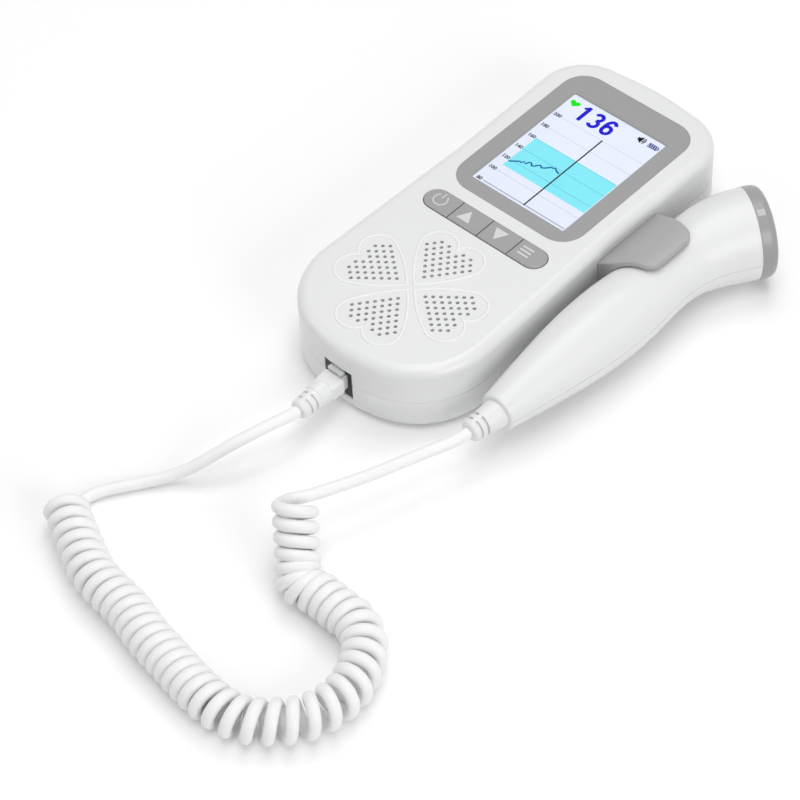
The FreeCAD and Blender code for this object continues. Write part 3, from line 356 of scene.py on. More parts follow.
class Coat:
    """A material under construction: one Principled shader and the effects that feed it."""

    def __init__(self, name: str, effects: Effects) -> None:
        """Makes the material and its shader.

        Args:
            name: what the material is called.
            effects: the shared effect groups.
        """
        self.material = bpy.data.materials.new(name)
        self.material.use_nodes = True
        self.effects = effects
        self.sketch = Sketch(self.material.node_tree)
        self.shader = self.material.node_tree.nodes["Principled BSDF"]
        self.place = self.sketch.add("ShaderNodeTexCoord").outputs["Object"]

    def set(self, **constants: object) -> None:
        """Sets constants on the shader, with _ for each space in a socket's name."""
        for label, value in constants.items():
            self.shader.inputs[label.replace("_", " ")].default_value = value

    def effect(self, tree: bpy.types.NodeTree, **values: object) -> bpy.types.Node:
        """Places a shared effect with its own values.

        Args:
            tree: the effect's group.
            values: what each input gets, with _ for each space in its name.

        Returns:
            The group's node.
        """
        node = self.sketch.add("ShaderNodeGroup", node_tree=tree)
        for label, value in values.items():
            self.sketch.feed(node.inputs[label.replace("_", " ")], value)
        return node

    def base(self, colour: object) -> None:
        """Feeds the base colour."""
        self.sketch.feed(self.shader.inputs["Base Color"], colour)

    def roughness(self, value: object) -> None:
        """Feeds the roughness."""
        self.sketch.feed(self.shader.inputs["Roughness"], value)

    def relief(self, height: object, normal: object = None) -> None:
        """Feeds relief to the shader.

        Args:
            height: the relief's height in metres.
            normal: the normal that it lies over, if not the face's own.
        """
        inputs = {"Height": height, "Distance": 1.0, "Strength": 1.0}
        if normal is not None:
            inputs["Normal"] = normal
        bump = self.sketch.add("ShaderNodeBump", inputs)
        self.sketch.feed(self.shader.inputs["Normal"], bump.outputs["Normal"])

    def tinted(self, colour: Colour, tint: object) -> bpy.types.NodeSocket:
        """A colour made lighter or darker by a tint near 1."""
        inputs = {0: colour, "Scale": tint}
        return self.sketch.add("ShaderNodeVectorMath", inputs, operation="SCALE").outputs["Vector"]

    def skin(self, rough: float, **values: float) -> bpy.types.Node:
        """Places the moulded skin and lets it drift the roughness.

        Args:
            rough: the roughness where the skin is clean.
            values: what each of the skin's inputs gets.

        Returns:
            The skin's node.
        """
        node = self.effect(self.effects.moulded_skin, Place=self.place, **values)
        self.roughness(self.sketch.maths("ADD", rough, node.outputs["Gloss Drift"]))
        return node


# ---------------------------------------------------------------- finishes
WORN_GAIN = 1.12
WORN_LIFT = 0.03
DUST_COLOUR = (0.72, 0.71, 0.69, 1.0)
BARE_END_COLOUR = (0.6, 0.6, 0.6, 1.0)
NOISE_RANGE = (0.3, 0.7)


@dataclass(frozen=True)
class Finish:
    """A finish, built as one material."""

    name: str

    def build(self, effects: Effects) -> bpy.types.Material:
        """Builds the material.

        Args:
            effects: the shared effect groups.

        Returns:
            The finished material.
        """
        coat = Coat(self.name, effects)
        self.paint(coat)
        return coat.material

    def paint(self, coat: Coat) -> None:
        """Feeds the material's shader, which every finish does in its own way."""
        raise NotImplementedError


@dataclass(frozen=True)
class MouldedPlastic(Finish):
    """Injection-moulded plastic with a fine grain, slightly wavy gloss and soft edges."""

    colour: Colour
    rough: float = 0.28
    grain_per_metre: float = 3600.0
    grain_depth: float = 0.0000012
    wave_depth: float = 0.00002
    drift: float = 0.02
    smudge: float = 0.02
    coat: float = 0.25
    edge: float = 0.0002
    rub: float = 0.25
    dust: float = 0.12

    def paint(self, coat: Coat) -> None:
        """Feeds the skin, the edges lightened by wear, and the dust.

        Args:
            coat: the material under construction.
        """
        draw = coat.sketch
        skin = coat.skin(self.rough, Grain_Per_Metre=self.grain_per_metre, Grain_Depth=self.grain_depth,
                         Wave_Depth=self.wave_depth, Drift=self.drift, Smudge=self.smudge)
        edge = coat.effect(coat.effects.rounded_edge, Radius=self.edge)
        dust = coat.effect(coat.effects.settled_dust, Place=coat.place, Amount=self.dust)
        body = self.detail(coat, coat.tinted(self.colour, skin.outputs["Tint"]))
        worn = tuple(min(1.0, c * WORN_GAIN + WORN_LIFT) for c in self.colour)
        worn_and_highlit = draw.mixed(draw.maths("MULTIPLY", edge.outputs["Edge"], self.rub), body, (*worn, 1.0))
        coat.base(draw.mixed(dust.outputs["Dust"], worn_and_highlit, DUST_COLOUR))
        coat.relief(skin.outputs["Height"], edge.outputs["Normal"])
        coat.set(IOR=1.49, Coat_Weight=self.coat, Coat_Roughness=0.2)

    def detail(self, coat: Coat, colour: bpy.types.NodeSocket) -> bpy.types.NodeSocket:
        """The colour with what is special to one moulding; a plain moulding adds nothing."""
        return colour


@dataclass(frozen=True)
class CasePlastic(MouldedPlastic):
    """Plastic of a case, with painted highlights: a pale seam line and pale bead tops."""

    seam: float = 0.0145
    seam_half: float = 0.0002
    beads_above: float = 0.03004
    # share and colour of the painted highlight on the bead tops and along the seam
    bead_highlight_share: float = 0.55
    painted_highlight: Colour = (0.93, 0.93, 0.94)

    def detail(self, coat: Coat, colour: bpy.types.NodeSocket) -> bpy.types.NodeSocket:
        """Paints a highlight on the seam and on the beads.

        Args:
            coat: the material under construction.
            colour: the plain moulding's colour.

        Returns:
            The colour with both highlights painted in.
        """
        draw, band = coat.sketch, coat.effects.height_band
        # painted highlight: the seam band and everything above the beads' base are mixed towards a pale
        # colour; in the seam groove this also lifts the shade
        seam = coat.effect(band, Place=coat.place, Low=self.seam - self.seam_half,
                           High=self.seam + self.seam_half)
        beads = coat.effect(band, Place=coat.place, Low=self.beads_above, High=1.0)
        worn_and_highlit = draw.maths("MULTIPLY", beads.outputs["Mask"], self.bead_highlight_share)
        bright = draw.maths("MAXIMUM", seam.outputs["Mask"], worn_and_highlit)
        return draw.mixed(bright, colour, (*self.painted_highlight, 1.0))


@dataclass(frozen=True)
class SoftRubber(Finish):
    """Matt elastomer with a velvety sheen."""

    colour: Colour
    rough: float = 0.42
    sheen: float = 0.12
    grain_depth: float = 0.000004
    edge: float = 0.00015

    def paint(self, coat: Coat) -> None:
        """Feeds the skin, the soft edges and the sheen.

        Args:
            coat: the material under construction.
        """
        skin = coat.skin(self.rough, Grain_Per_Metre=2400.0, Grain_Depth=self.grain_depth,
                         Wave_Depth=0.00002, Drift=0.05, Smudge=0.08)
        edge = coat.effect(coat.effects.rounded_edge, Radius=self.edge)
        coat.base(coat.tinted(self.colour, skin.outputs["Tint"]))
        coat.relief(skin.outputs["Height"], edge.outputs["Normal"])
        coat.set(IOR=1.45, Sheen_Weight=self.sheen, Sheen_Roughness=0.4, Coat_Weight=0.1, Coat_Roughness=0.3)


@dataclass(frozen=True)
class BareMetal(Finish):
    """Plated or rolled metal with fine drawn lines."""

    colour: Colour
    rough: float = 0.3
    lines_per_metre: float = 5000.0
    line_depth: float = 0.000003
    edge: float = 0.0001

    def paint(self, coat: Coat) -> None:
        """Feeds the drawn lines to colour, gloss and relief.

        Args:
            coat: the material under construction.
        """
        draw, effects = coat.sketch, coat.effects
        drawn = coat.effect(effects.drawn_lines, Place=coat.place, Per_Metre=self.lines_per_metre)
        lines = drawn.outputs["Lines"]
        edge = coat.effect(effects.rounded_edge, Radius=self.edge)
        coat.base(coat.tinted(self.colour, draw.spread(lines, NOISE_RANGE, (0.9, 1.06))))
        coat.roughness(draw.spread(lines, NOISE_RANGE, (self.rough, self.rough + 0.15)))
        coat.relief(draw.maths("MULTIPLY", lines, self.line_depth), edge.outputs["Normal"])
        coat.set(Metallic=1.0)


@dataclass(frozen=True)
class ClearPlastic(Finish):
    """Clear polycarbonate, faintly cloudy, with flow marks."""

    colour: Colour
    rough: float = 0.08
    through: float = 0.85
    ior: float = 1.5

    def paint(self, coat: Coat) -> None:
        """Feeds the cloudy skin and lets light through.

        Args:
            coat: the material under construction.
        """
        skin = coat.skin(self.rough, Grain_Per_Metre=900.0, Grain_Depth=0.000004,
                         Wave_Depth=0.00002, Drift=0.03, Smudge=0.08)
        coat.base(coat.tinted(self.colour, skin.outputs["Tint"]))
        coat.relief(skin.outputs["Height"])
        coat.set(IOR=self.ior, Transmission_Weight=self.through)


@dataclass(frozen=True)
class LitPicture(Finish):
    """One colour of the lit display, with its fine columns of picture cells."""

    colour: Colour
    cells_per_metre: float = 5556.0
    unlit: float = 0.04

    def paint(self, coat: Coat) -> None:
        """Feeds the glow, with a dark gap between neighbouring columns.

        Args:
            coat: the material under construction.
        """
        draw = coat.sketch
        cells = draw.maths("MULTIPLY", draw.coordinate(coat.place, "X"), self.cells_per_metre)
        from_middle = draw.maths("ABSOLUTE", draw.maths("SUBTRACT", draw.maths("FRACT", cells), 0.5))
        gap = draw.spread(from_middle, (0.42, 0.5), (1.0, 0.9))
        glow = draw.spread(draw.noise(coat.place, 22.0, 1.0), NOISE_RANGE, (0.97, 1.0))
        light = coat.tinted(self.colour, draw.maths("MULTIPLY", gap, glow))
        draw.feed(coat.shader.inputs["Emission Color"], light)
        coat.base(coat.tinted(self.colour, self.unlit))
        coat.set(Emission_Strength=1.0, Roughness=0.6, Specular_IOR_Level=0.0)


@dataclass(frozen=True)
class CircuitBoard(Finish):
    """Green solder mask over copper tracks."""

    mask: Colour = (0.012, 0.12, 0.045)
    track: Colour = (0.03, 0.22, 0.08)
    track_height: float = 0.00003

    def paint(self, coat: Coat) -> None:
        """Feeds a net of tracks, raised under the mask.

        Args:
            coat: the material under construction.
        """
        draw = coat.sketch
        cells = draw.add("ShaderNodeTexBrick", {
            "Vector": coat.place, "Scale": 260.0, "Color1": (1, 1, 1, 1), "Color2": (0.7, 0.7, 0.7, 1),
            "Mortar": (0, 0, 0, 1), "Mortar Size": 0.06,
        })
        copper = draw.spread(cells.outputs["Fac"], (0.2, 0.8), (0.0, 1.0))
        coat.base(draw.mixed(copper, (*self.mask, 1.0), (*self.track, 1.0)))
        coat.relief(draw.maths("MULTIPLY", copper, self.track_height))
        coat.set(Roughness=0.3, Coat_Weight=0.4, Coat_Roughness=0.15)


@dataclass(frozen=True)
class SleevedCell(Finish):
    """Battery: plain printed sleeve between bare metal ends."""

    sleeve: Colour = (0.03, 0.07, 0.06)
    band: Colour = (0.55, 0.42, 0.12)
    ends_y: tuple[float, float] = (-0.0648, -0.0160)
    band_y: float = -0.0270

    def paint(self, coat: Coat) -> None:
        """Feeds the sleeve, its band and the bare ends.

        Args:
            coat: the material under construction.
        """
        draw = coat.sketch
        along = draw.coordinate(coat.place, "Y")
        past_low = draw.maths("LESS_THAN", along, self.ends_y[0])
        bare = draw.maths("MAXIMUM", past_low, draw.maths("GREATER_THAN", along, self.ends_y[1]))
        banded = draw.maths("GREATER_THAN", along, self.band_y)
        print_colour = draw.mixed(banded, (*self.sleeve, 1.0), (*self.band, 1.0))
        coat.base(draw.mixed(bare, print_colour, BARE_END_COLOUR))
        draw.feed(coat.shader.inputs["Metallic"], draw.maths("MAXIMUM", bare, 0.35))
        coat.roughness(draw.spread(draw.noise(coat.place, 120.0, 2.0), NOISE_RANGE, (0.25, 0.38)))


@dataclass(frozen=True)
class PressedPaper(Finish):
    """Fibrous speaker cone with its rolled ribs."""

    colour: Colour = (0.03, 0.03, 0.033)
    fibre_depth: float = 0.00004

    def paint(self, coat: Coat) -> None:
        """Feeds the fibres to colour and relief.

        Args:
            coat: the material under construction.
        """
        draw = coat.sketch
        fibres = draw.noise(coat.place, 1500.0, 6.0)
        coat.base(coat.tinted(self.colour, draw.spread(fibres, NOISE_RANGE, (0.7, 1.5))))
        coat.relief(draw.maths("MULTIPLY", fibres, self.fibre_depth))
        coat.set(Roughness=0.85, Sheen_Weight=0.2)


class Finishes:
    """Every finish of the object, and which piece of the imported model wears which."""

    def __init__(self, effects: Effects) -> None:
        """Builds the finishes.

        Args:
            effects: the shared effect groups.
        """
        self.effects = effects
        self.worn: dict[str, bpy.types.Material] = {}
        self.make_plastics()
        self.make_rubbers()
        self.make_the_rest()

    def made(self, finish: Finish, *nodes: str) -> bpy.types.Material:
        """Builds one finish.

        Args:
            finish: the finish.
            nodes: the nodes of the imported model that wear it.

        Returns:
            Its material.
        """
        material = finish.build(self.effects)
        self.worn.update(dict.fromkeys(nodes, material))
        return material

    def make_plastics(self) -> None:
        """Makes the hard plastics."""
        # the case plastics carry a painted highlight on the seam and on the bead tops; the probe shell has it
        # only on its seam
        self.made(CasePlastic("white_shell", grey(0.785, 0.008), rough=0.3, coat=0.15),
                  "front_shell", "rear_shell", "battery_cover")
        self.made(CasePlastic("white_probe_shell", grey(0.79, 0.008), rough=0.38, coat=0.08, seam=0.0174,
                              beads_above=1.0), "probe_upper_shell", "probe_lower_shell")
        self.bezel = self.made(MouldedPlastic("grey_bezel", grey(0.315), rough=0.36, coat=0.1),
                               "display_bezel")
        self.made(MouldedPlastic("grey_keys", grey(0.335), rough=0.36, coat=0.1, edge=0.0003),
                  "power_button", "up_button", "down_button", "menu_button")
        self.made(MouldedPlastic("grey_clip", grey(0.40), rough=0.36, coat=0.12, edge=0.0006), "probe_clip")
        self.made(MouldedPlastic("grey_cap", grey(0.325), rough=0.32, coat=0.15), "probe_cap_ring")
        self.marks = self.made(MouldedPlastic("pale_marks", grey(0.66), rough=0.4, coat=0.0, edge=0.0001))
        # painted reflection: the pale patch on the cap ring stands in for a softbox's reflection
        self.index = self.made(MouldedPlastic("painted_cap_reflection", grey(0.52), rough=0.4, coat=0.0, edge=0.0001))
        self.made(MouldedPlastic("black_socket", grey(0.02), rough=0.45, coat=0.0, rub=0.1), "modular_jack")
        self.made(MouldedPlastic("black_switch", grey(0.03), rough=0.5, coat=0.0), "tact_switches")

    def make_rubbers(self) -> None:
        """Makes the soft finishes."""
        self.cord = self.made(SoftRubber("white_cord", grey(0.90, 0.005)),
                              "cord_plug_lead", "cord_coil", "cord_probe_lead")
        self.made(SoftRubber("white_boot", grey(0.80, 0.005), rough=0.36), "plug_boot", "probe_strain_relief")
        self.made(SoftRubber("key_rubber", grey(0.55), rough=0.6), "button_pad")
        self.made(SoftRubber("display_foam", grey(0.35), rough=0.9, grain_depth=0.00008), "display_foam")
        self.made(SoftRubber("probe_face", grey(0.62, 0.01), rough=0.3), "transducer_face")

    def make_the_rest(self) -> None:
        """Makes the clear plastics, the metals and what is inside."""
        self.made(ClearPlastic("clear_plug", (0.92, 0.93, 0.94), rough=0.2, through=0.3),
                  "plug_body", "plug_latch")
        self.made(ClearPlastic("display_pane", (0.99, 0.99, 1.0), rough=0.0, through=1.0, ior=1.12),
                  "display_window")
        self.made(BareMetal("gold_plating", (0.83, 0.6, 0.25), rough=0.22), "jack_contacts", "plug_contacts")
        self.made(BareMetal("zinc_plated_steel", (0.56, 0.56, 0.57)),
                  "housing_screws", "clip_screws", "speaker_frame")
        self.made(BareMetal("nickel_spring", (0.66, 0.64, 0.6), rough=0.2), "battery_contacts")
        self.made(BareMetal("silvered_crystal", (0.62, 0.58, 0.48), rough=0.4), "transducer_disc")
        self.made(CircuitBoard("circuit_board"), "main_board", "probe_board")
        self.made(SleevedCell("battery_sleeve"), "battery_cell_left", "battery_cell_right")
        self.made(PressedPaper("speaker_paper"), "speaker_cone")
        # painted shade: a dark grey disc seen through the grille's holes stands in for the shade in their
        # depth
        self.hole_shade_sheet = self.made(PressedPaper("painted_hole_shade", colour=grey(0.25)))
        self.made(MouldedPlastic("panel_glass", grey(0.03, 0.01), rough=0.12, coat=0.5), "display_panel")

    def dress(self) -> None:
        """Puts each node's finish on it."""
        for name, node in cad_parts.items():
            node.data.materials.clear()
            node.data.materials.append(self.worn[name])
            LOG.info("dressed %s in %s", name, self.worn[name].name)


# ---------------------------------------------------------------- mesh making
class MeshMaker:
    """Turns points and faces into pieces of the object."""

    @staticmethod
    def piece(name: str, points: list[Vector], faces: list[tuple[int, ...]], material: bpy.types.Material,
              smooth: bool = False) -> bpy.types.Object:
        """A mesh object from points and faces.

        Args:
            name: the piece's name.
            points: its corners, in metres.
            faces: corner numbers of each face.
            material: its finish.
            smooth: whether its shading is smooth.

        Returns:
            The new object, linked to the scene.
        """
        mesh = bpy.data.meshes.new(name)
        mesh.from_pydata([tuple(p) for p in points], [], faces)
        mesh.validate()
        mesh.polygons.foreach_set("use_smooth", [smooth] * len(mesh.polygons))
        mesh.materials.append(material)
        return added(name, mesh)

    @staticmethod
    def plate(name: str, outlines: list[list[Vector]], thickness: float,
              material: bpy.types.Material) -> bpy.types.Object:
        """Flat plates from closed outlines that run anticlockwise, raised along Z.

        Args:
            name: the piece's name.
            outlines: the corners of each plate's lower face.
            thickness: how far each is raised.
            material: its finish.

        Returns:
            The new object.
        """
        points: list[Vector] = []
        faces: list[tuple[int, ...]] = []
        for outline in outlines:
            first, count = len(points), len(outline)
            points += outline
            points += [p + UP * thickness for p in outline]
            faces.append(tuple(first + i for i in reversed(range(count))))
            faces.append(tuple(first + count + i for i in range(count)))
            for i in range(count):
                j = (i + 1) % count
                faces.append((first + i, first + j, first + count + j, first + count + i))
        return MeshMaker.piece(name, points, faces, material)

    @staticmethod
    def stroke(points: list[Vector], width: float) -> list[Vector]:
        """Outline of a flat line along points, anticlockwise.

        Args:
            points: what the line's middle follows.
            width: how wide it is.

        Returns:
            The outline's corners.
        """
        left, right = [], []
        for i, point in enumerate(points):
            before = points[max(i - 1, 0)]
            after = points[min(i + 1, len(points) - 1)]
            way = (after - before).normalized()
            side = UP.cross(way) * (width / 2)
            left.append(point + side)
            right.append(point - side)
        return right + left[::-1]

    @staticmethod
    def tube(name: str, path: list[Vector], radius: float, sides: int,
             material: bpy.types.Material) -> bpy.types.Object:
        """A round tube with closed, slightly rounded ends along a path.

        Args:
            name: the piece's name.
            path: the points that its middle follows.
            radius: the tube's radius.
            sides: how many flats make its round.
            material: its finish.

        Returns:
            The new object.
        """
        points: list[Vector] = []
        faces: list[tuple[int, ...]] = []
        way = (path[1] - path[0]).normalized()
        side = way.orthogonal().normalized()
        for i, centre in enumerate(path):
            ahead = (path[min(i + 1, len(path) - 1)] - path[max(i - 1, 0)]).normalized()
            side = way.rotation_difference(ahead) @ side
            side = (side - ahead * side.dot(ahead)).normalized()
            way = ahead
            across = way.cross(side)
            for k in range(sides):
                angle = FULL_TURN * k / sides
                points.append(centre + (side * math.cos(angle) + across * math.sin(angle)) * radius)
        for i in range(len(path) - 1):
            for k in range(sides):
                low, high = i * sides, (i + 1) * sides
                j = (k + 1) % sides
                faces.append((low + k, low + j, high + j, high + k))
        faces.append(tuple(reversed(range(sides))))
        faces.append(tuple((len(path) - 1) * sides + k for k in range(sides)))
        return MeshMaker.piece(name, points, faces, material, smooth=True)

    @staticmethod
    def words(name: str, text: str, size: float, place: Vector, thickness: float, weight: float,
              material: bpy.types.Material) -> bpy.types.Object:
        """Plain figures as a thin raised mesh, centred on a place.

        Args:
            name: the piece's name.
            text: the figures.
            size: the type's size.
            place: the middle of the figures' lower face.
            thickness: how far they are raised.
            weight: how far the strokes are fattened.
            material: their finish.

        Returns:
            The new object.
        """
        curve = bpy.data.curves.new(name, "FONT")
        curve.body = text
        curve.size = size
        curve.align_x = "CENTER"
        curve.align_y = "CENTER"
        curve.extrude = thickness / 2
        curve.offset = weight
        curve.resolution_u = 6
        mesh = meshed(name + "_type", curve)
        mesh.transform(Matrix.Translation(place + UP * (thickness / 2)))
        mesh.materials.clear()
        mesh.materials.append(material)
        return added(name, mesh)


def arc_points(centre: Vector, radius: float, start: float, end: float, steps: int) -> list[Vector]:
    """Points along a flat arc, its angles in degrees."""
    angles = [math.radians(start + (end - start) * i / steps) for i in range(steps + 1)]
    return [centre + Vector((math.cos(a), math.sin(a), 0)) * radius for a in angles]


def rounded_corners(corners: list[Vector], radius: float, steps: int = 5) -> list[Vector]:
    """Rounds each corner of a closed outline.

    Args:
        corners: the outline's corners.
        radius: how far each is rounded.
        steps: how many edges each round has.

    Returns:
        The rounded outline.
    """
    outline: list[Vector] = []
    for i, corner in enumerate(corners):
        back = (corners[i - 1] - corner).normalized()
        on = (corners[(i + 1) % len(corners)] - corner).normalized()
        half = back.angle(on) / 2
        start = corner + back * (radius / math.tan(half))
        end = corner + on * (radius / math.tan(half))
        for k in range(steps + 1):
            share = k / steps
            outline.append(start * (1 - share) ** 2 + corner * (2 * share * (1 - share)) + end * share ** 2)
    return outline


# ---------------------------------------------------------------- the lit display
@dataclass
class LitDisplay:
    """The picture on the display: ground, graph, trace, figures and small signs.

    Places are in millimetres from the middle of the picture.
    """

    finishes: Finishes
    centre_x: float = 0.35
    centre_y: float = 35.7
    width: float = 44.0
    length: float = 58.4
    bleed: float = 1.4
    bleed_below: float = 0.6
    layer: float = 0.02
    graph_left: float = -18.3
    graph_right: float = 20.8
    line_pitch: float = 7.34
    top_line: float = 16.85
    band_low: float = -16.4
    fine_line: float = 0.2
    band_line: float = 0.24
    base_line: float = 0.55
    cursor_x: float = 1.5
    cursor_half: float = 0.31
    trace_line: float = 0.7
    digit_line: float = 1.55
    scale_x: float = -20.3
    scale_size: float = 2.3
    scale_weight: float = 0.09
    scale_top: int = 200
    scale_step: int = 20
    arc_steps: int = 28

    COLOURS = {
        "ground": (0.80, 0.85, 0.97), "band": (0.24, 0.82, 0.93), "grid": (0.56, 0.60, 0.72),
        "base_line": (0.42, 0.44, 0.54), "band_grid": (0.11, 0.58, 0.67), "cursor": (0.02, 0.035, 0.04),
        "trace": (0.006, 0.11, 0.36), "reading": (0.015, 0.012, 0.62), "battery": (0.01, 0.01, 0.22),
        "scale": (0.07, 0.08, 0.13), "heart": (0.01, 0.80, 0.01), "sign": (0.006, 0.006, 0.008),
    }
    TRACE = (
        (-18.0, -13.6), (-17.0, -13.0), (-16.0, -12.1), (-15.3, -11.7), (-14.6, -10.9), (-14.0, -11.4),
        (-13.1, -10.1), (-12.3, -10.8), (-11.3, -8.9), (-10.5, -9.2), (-9.6, -10.1), (-8.9, -9.6),
        (-8.1, -8.4), (-7.3, -7.8), (-6.3, -8.5), (-5.4, -8.0), (-4.3, -6.8), (-3.4, -5.7),
        (-2.9, -6.2), (-2.2, -5.3), (-1.2, -6.2), (-0.3, -6.5), (0.7, -6.9),
    )

    def __post_init__(self) -> None:
        """Finds the panel's top and makes the picture's colours."""
        self.ground_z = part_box("display_panel")[1].z / MM
        self.inks = {name: self.finishes.made(LitPicture("picture_" + name, colour))
                     for name, colour in self.COLOURS.items()}

    def at(self, x: float, y: float, level: int = 1) -> Vector:
        """A point of the picture, so many layers above the panel."""
        return mm(self.centre_x + x, self.centre_y + y, self.ground_z + self.layer * level)

    def line_y(self, row: int) -> float:
        """Height of one of the graph's level lines, counted from the top."""
        return self.top_line - row * self.line_pitch

    def drawn(self, name: str, outlines: list[list[Vector]], ink: str = "") -> None:
        """Makes one piece of the picture, in the ink of its name unless another is given."""
        piece = MeshMaker.plate("picture_" + name, outlines, self.layer * MM, self.inks[ink or name])
        settle(piece, Body.MONITOR)

    def slab(self, name: str, low: tuple[float, float], high: tuple[float, float], level: int) -> None:
        """Draws a rectangle from its low corner to its high one, on one of the layers."""
        corners = (low, (high[0], low[1]), high, (low[0], high[1]))
        self.drawn(name, [[self.at(x, y, level) for x, y in corners]])

    def grid(self, name: str, rows: tuple[int, ...], width: float) -> None:
        """Draws some of the graph's level lines.

        Args:
            name: the piece's name.
            rows: which lines, counted from the top.
            width: how thick they are.
        """
        sides = (self.graph_left, self.graph_right)
        lines = [[self.at(x, self.line_y(row), 2) for x in sides] for row in rows]
        self.drawn(name, [MeshMaker.stroke(line, width * MM) for line in lines])

    def build(self) -> None:
        """Makes every piece of the picture."""
        half_w, half_l = self.width / 2 + self.bleed, self.length / 2
        self.slab("ground", (-half_w, -half_l - self.bleed_below), (half_w, half_l + self.bleed), 0)
        self.slab("band", (self.graph_left, self.band_low), (self.graph_right, self.line_y(2)), 1)
        self.grid("grid", (0, 1, 5), self.fine_line)
        self.grid("base_line", (6,), self.base_line)
        self.grid("band_grid", (2, 3, 4), self.band_line)
        self.slab("cursor", (self.cursor_x - self.cursor_half, self.line_y(6) - 0.3),
                  (self.cursor_x + self.cursor_half, self.line_y(0) + 0.2), 3)
        trace = [self.at(x, y, 3) for x, y in self.TRACE]
        self.drawn("trace", [MeshMaker.stroke(trace, self.trace_line * MM)])
        self.reading()
        self.scale()
        self.heart()
        self.speaker_sign()
        self.battery_sign()

    def oval(self, centre: tuple[float, float], radii: tuple[float, float], start: float,
             end: float, level: int = 1) -> list[Vector]:
        """Points along part of an oval.

        Args:
            centre: its middle.
            radii: half its width and half its height.
            start: the first point's angle in degrees.
            end: the last point's.
            level: the layer that it lies on.

        Returns:
            The points.
        """
        turns = [math.radians(start + (end - start) * i / self.arc_steps) for i in range(self.arc_steps + 1)]
        return [self.at(centre[0] + radii[0] * math.cos(turn), centre[1] + radii[1] * math.sin(turn), level)
                for turn in turns]

    def reading(self) -> None:
        """Draws the large reading, 136, with broad strokes."""
        lines = [
            ([self.at(-12.95, 19.55), self.at(-12.95, 28.0)], 1.65),
            ([self.at(-14.75, 26.1, 2), self.at(-12.6, 27.75, 2)], 1.2),
            (self.oval((-7.2, 25.7), (1.6, 1.65), 165, -95), self.digit_line),
            (self.oval((-7.2, 22.0), (1.8, 1.9), 95, -155, 2), self.digit_line),
            (self.oval((-1.15, 22.25), (1.75, 2.1), 0, 360, 2), self.digit_line),
            (self.oval((-0.95, 23.9), (1.95, 3.45), 38, 205), self.digit_line),
        ]
        self.drawn("reading", [MeshMaker.stroke(line, width * MM) for line, width in lines])

    def scale(self) -> None:
        """Makes the scale's plain numbers, from 200 down to 80."""
        made = []
        for row in range(7):
            number = str(self.scale_top - self.scale_step * row)
            place = self.at(self.scale_x, self.line_y(row) + 0.1)
            made.append(MeshMaker.words(f"picture_scale_{row}", number, self.scale_size * MM, place,
                                        self.layer * MM, self.scale_weight * MM, self.inks["scale"]))
        with bpy.context.temp_override(active_object=made[0], selected_editable_objects=made):
            bpy.ops.object.join()
        made[0].name = "picture_scale"
        settle(made[0], Body.MONITOR)

    def heart(self) -> None:
        """Draws the green heart beside the reading."""
        middle_x, middle_y, half_width, half_height, steps = -19.4, 25.9, 2.2, 1.95, 40
        outline = []
        for step in range(steps):
            t = FULL_TURN * step / steps
            x = half_width * math.sin(t) ** 3
            lobes = 13 * math.cos(t) - 5 * math.cos(2 * t) - 2 * math.cos(3 * t) - math.cos(4 * t)
            outline.append(self.at(middle_x - x, middle_y + lobes / 16 * half_height))
        self.drawn("heart", [outline])

    def speaker_sign(self) -> None:
        """Draws the small loudspeaker sign: a horn and two sound arcs."""
        horn = [(10.6, 26.0), (11.2, 26.0), (12.6, 24.9), (12.6, 28.5), (11.2, 27.5), (10.6, 27.5)]
        outlines = [[self.at(x, y) for x, y in horn]]
        for radius in (0.7, 1.45):
            arc = self.oval((12.5, 26.75), (radius, radius * 1.1), -62, 62)
            outlines.append(MeshMaker.stroke(arc, 0.5 * MM))
        self.drawn("speaker_sign", outlines, "sign")

    def battery_sign(self) -> None:
        """Draws the small battery sign: a case drawn in line, with four slanting bars."""
        left, right, low, high = 15.9, 20.0, 25.5, 27.6
        case = [self.at(x, y) for x, y in ((left, low), (right, low), (right, high), (left, high))]
        lines = [([case[i], case[(i + 1) % 4]], 0.26) for i in range(4)]
        lines.append(([self.at(right + 0.3, 26.1), self.at(right + 0.3, 27.0)], 0.35))
        for bar in range(4):
            x = left + 0.45 + bar * 0.9
            lines.append(([self.at(x + 0.35, low + 0.2), self.at(x, high - 0.2)], 0.62))
        self.drawn("battery_sign", [MeshMaker.stroke(line, width * MM) for line, width in lines], "battery")


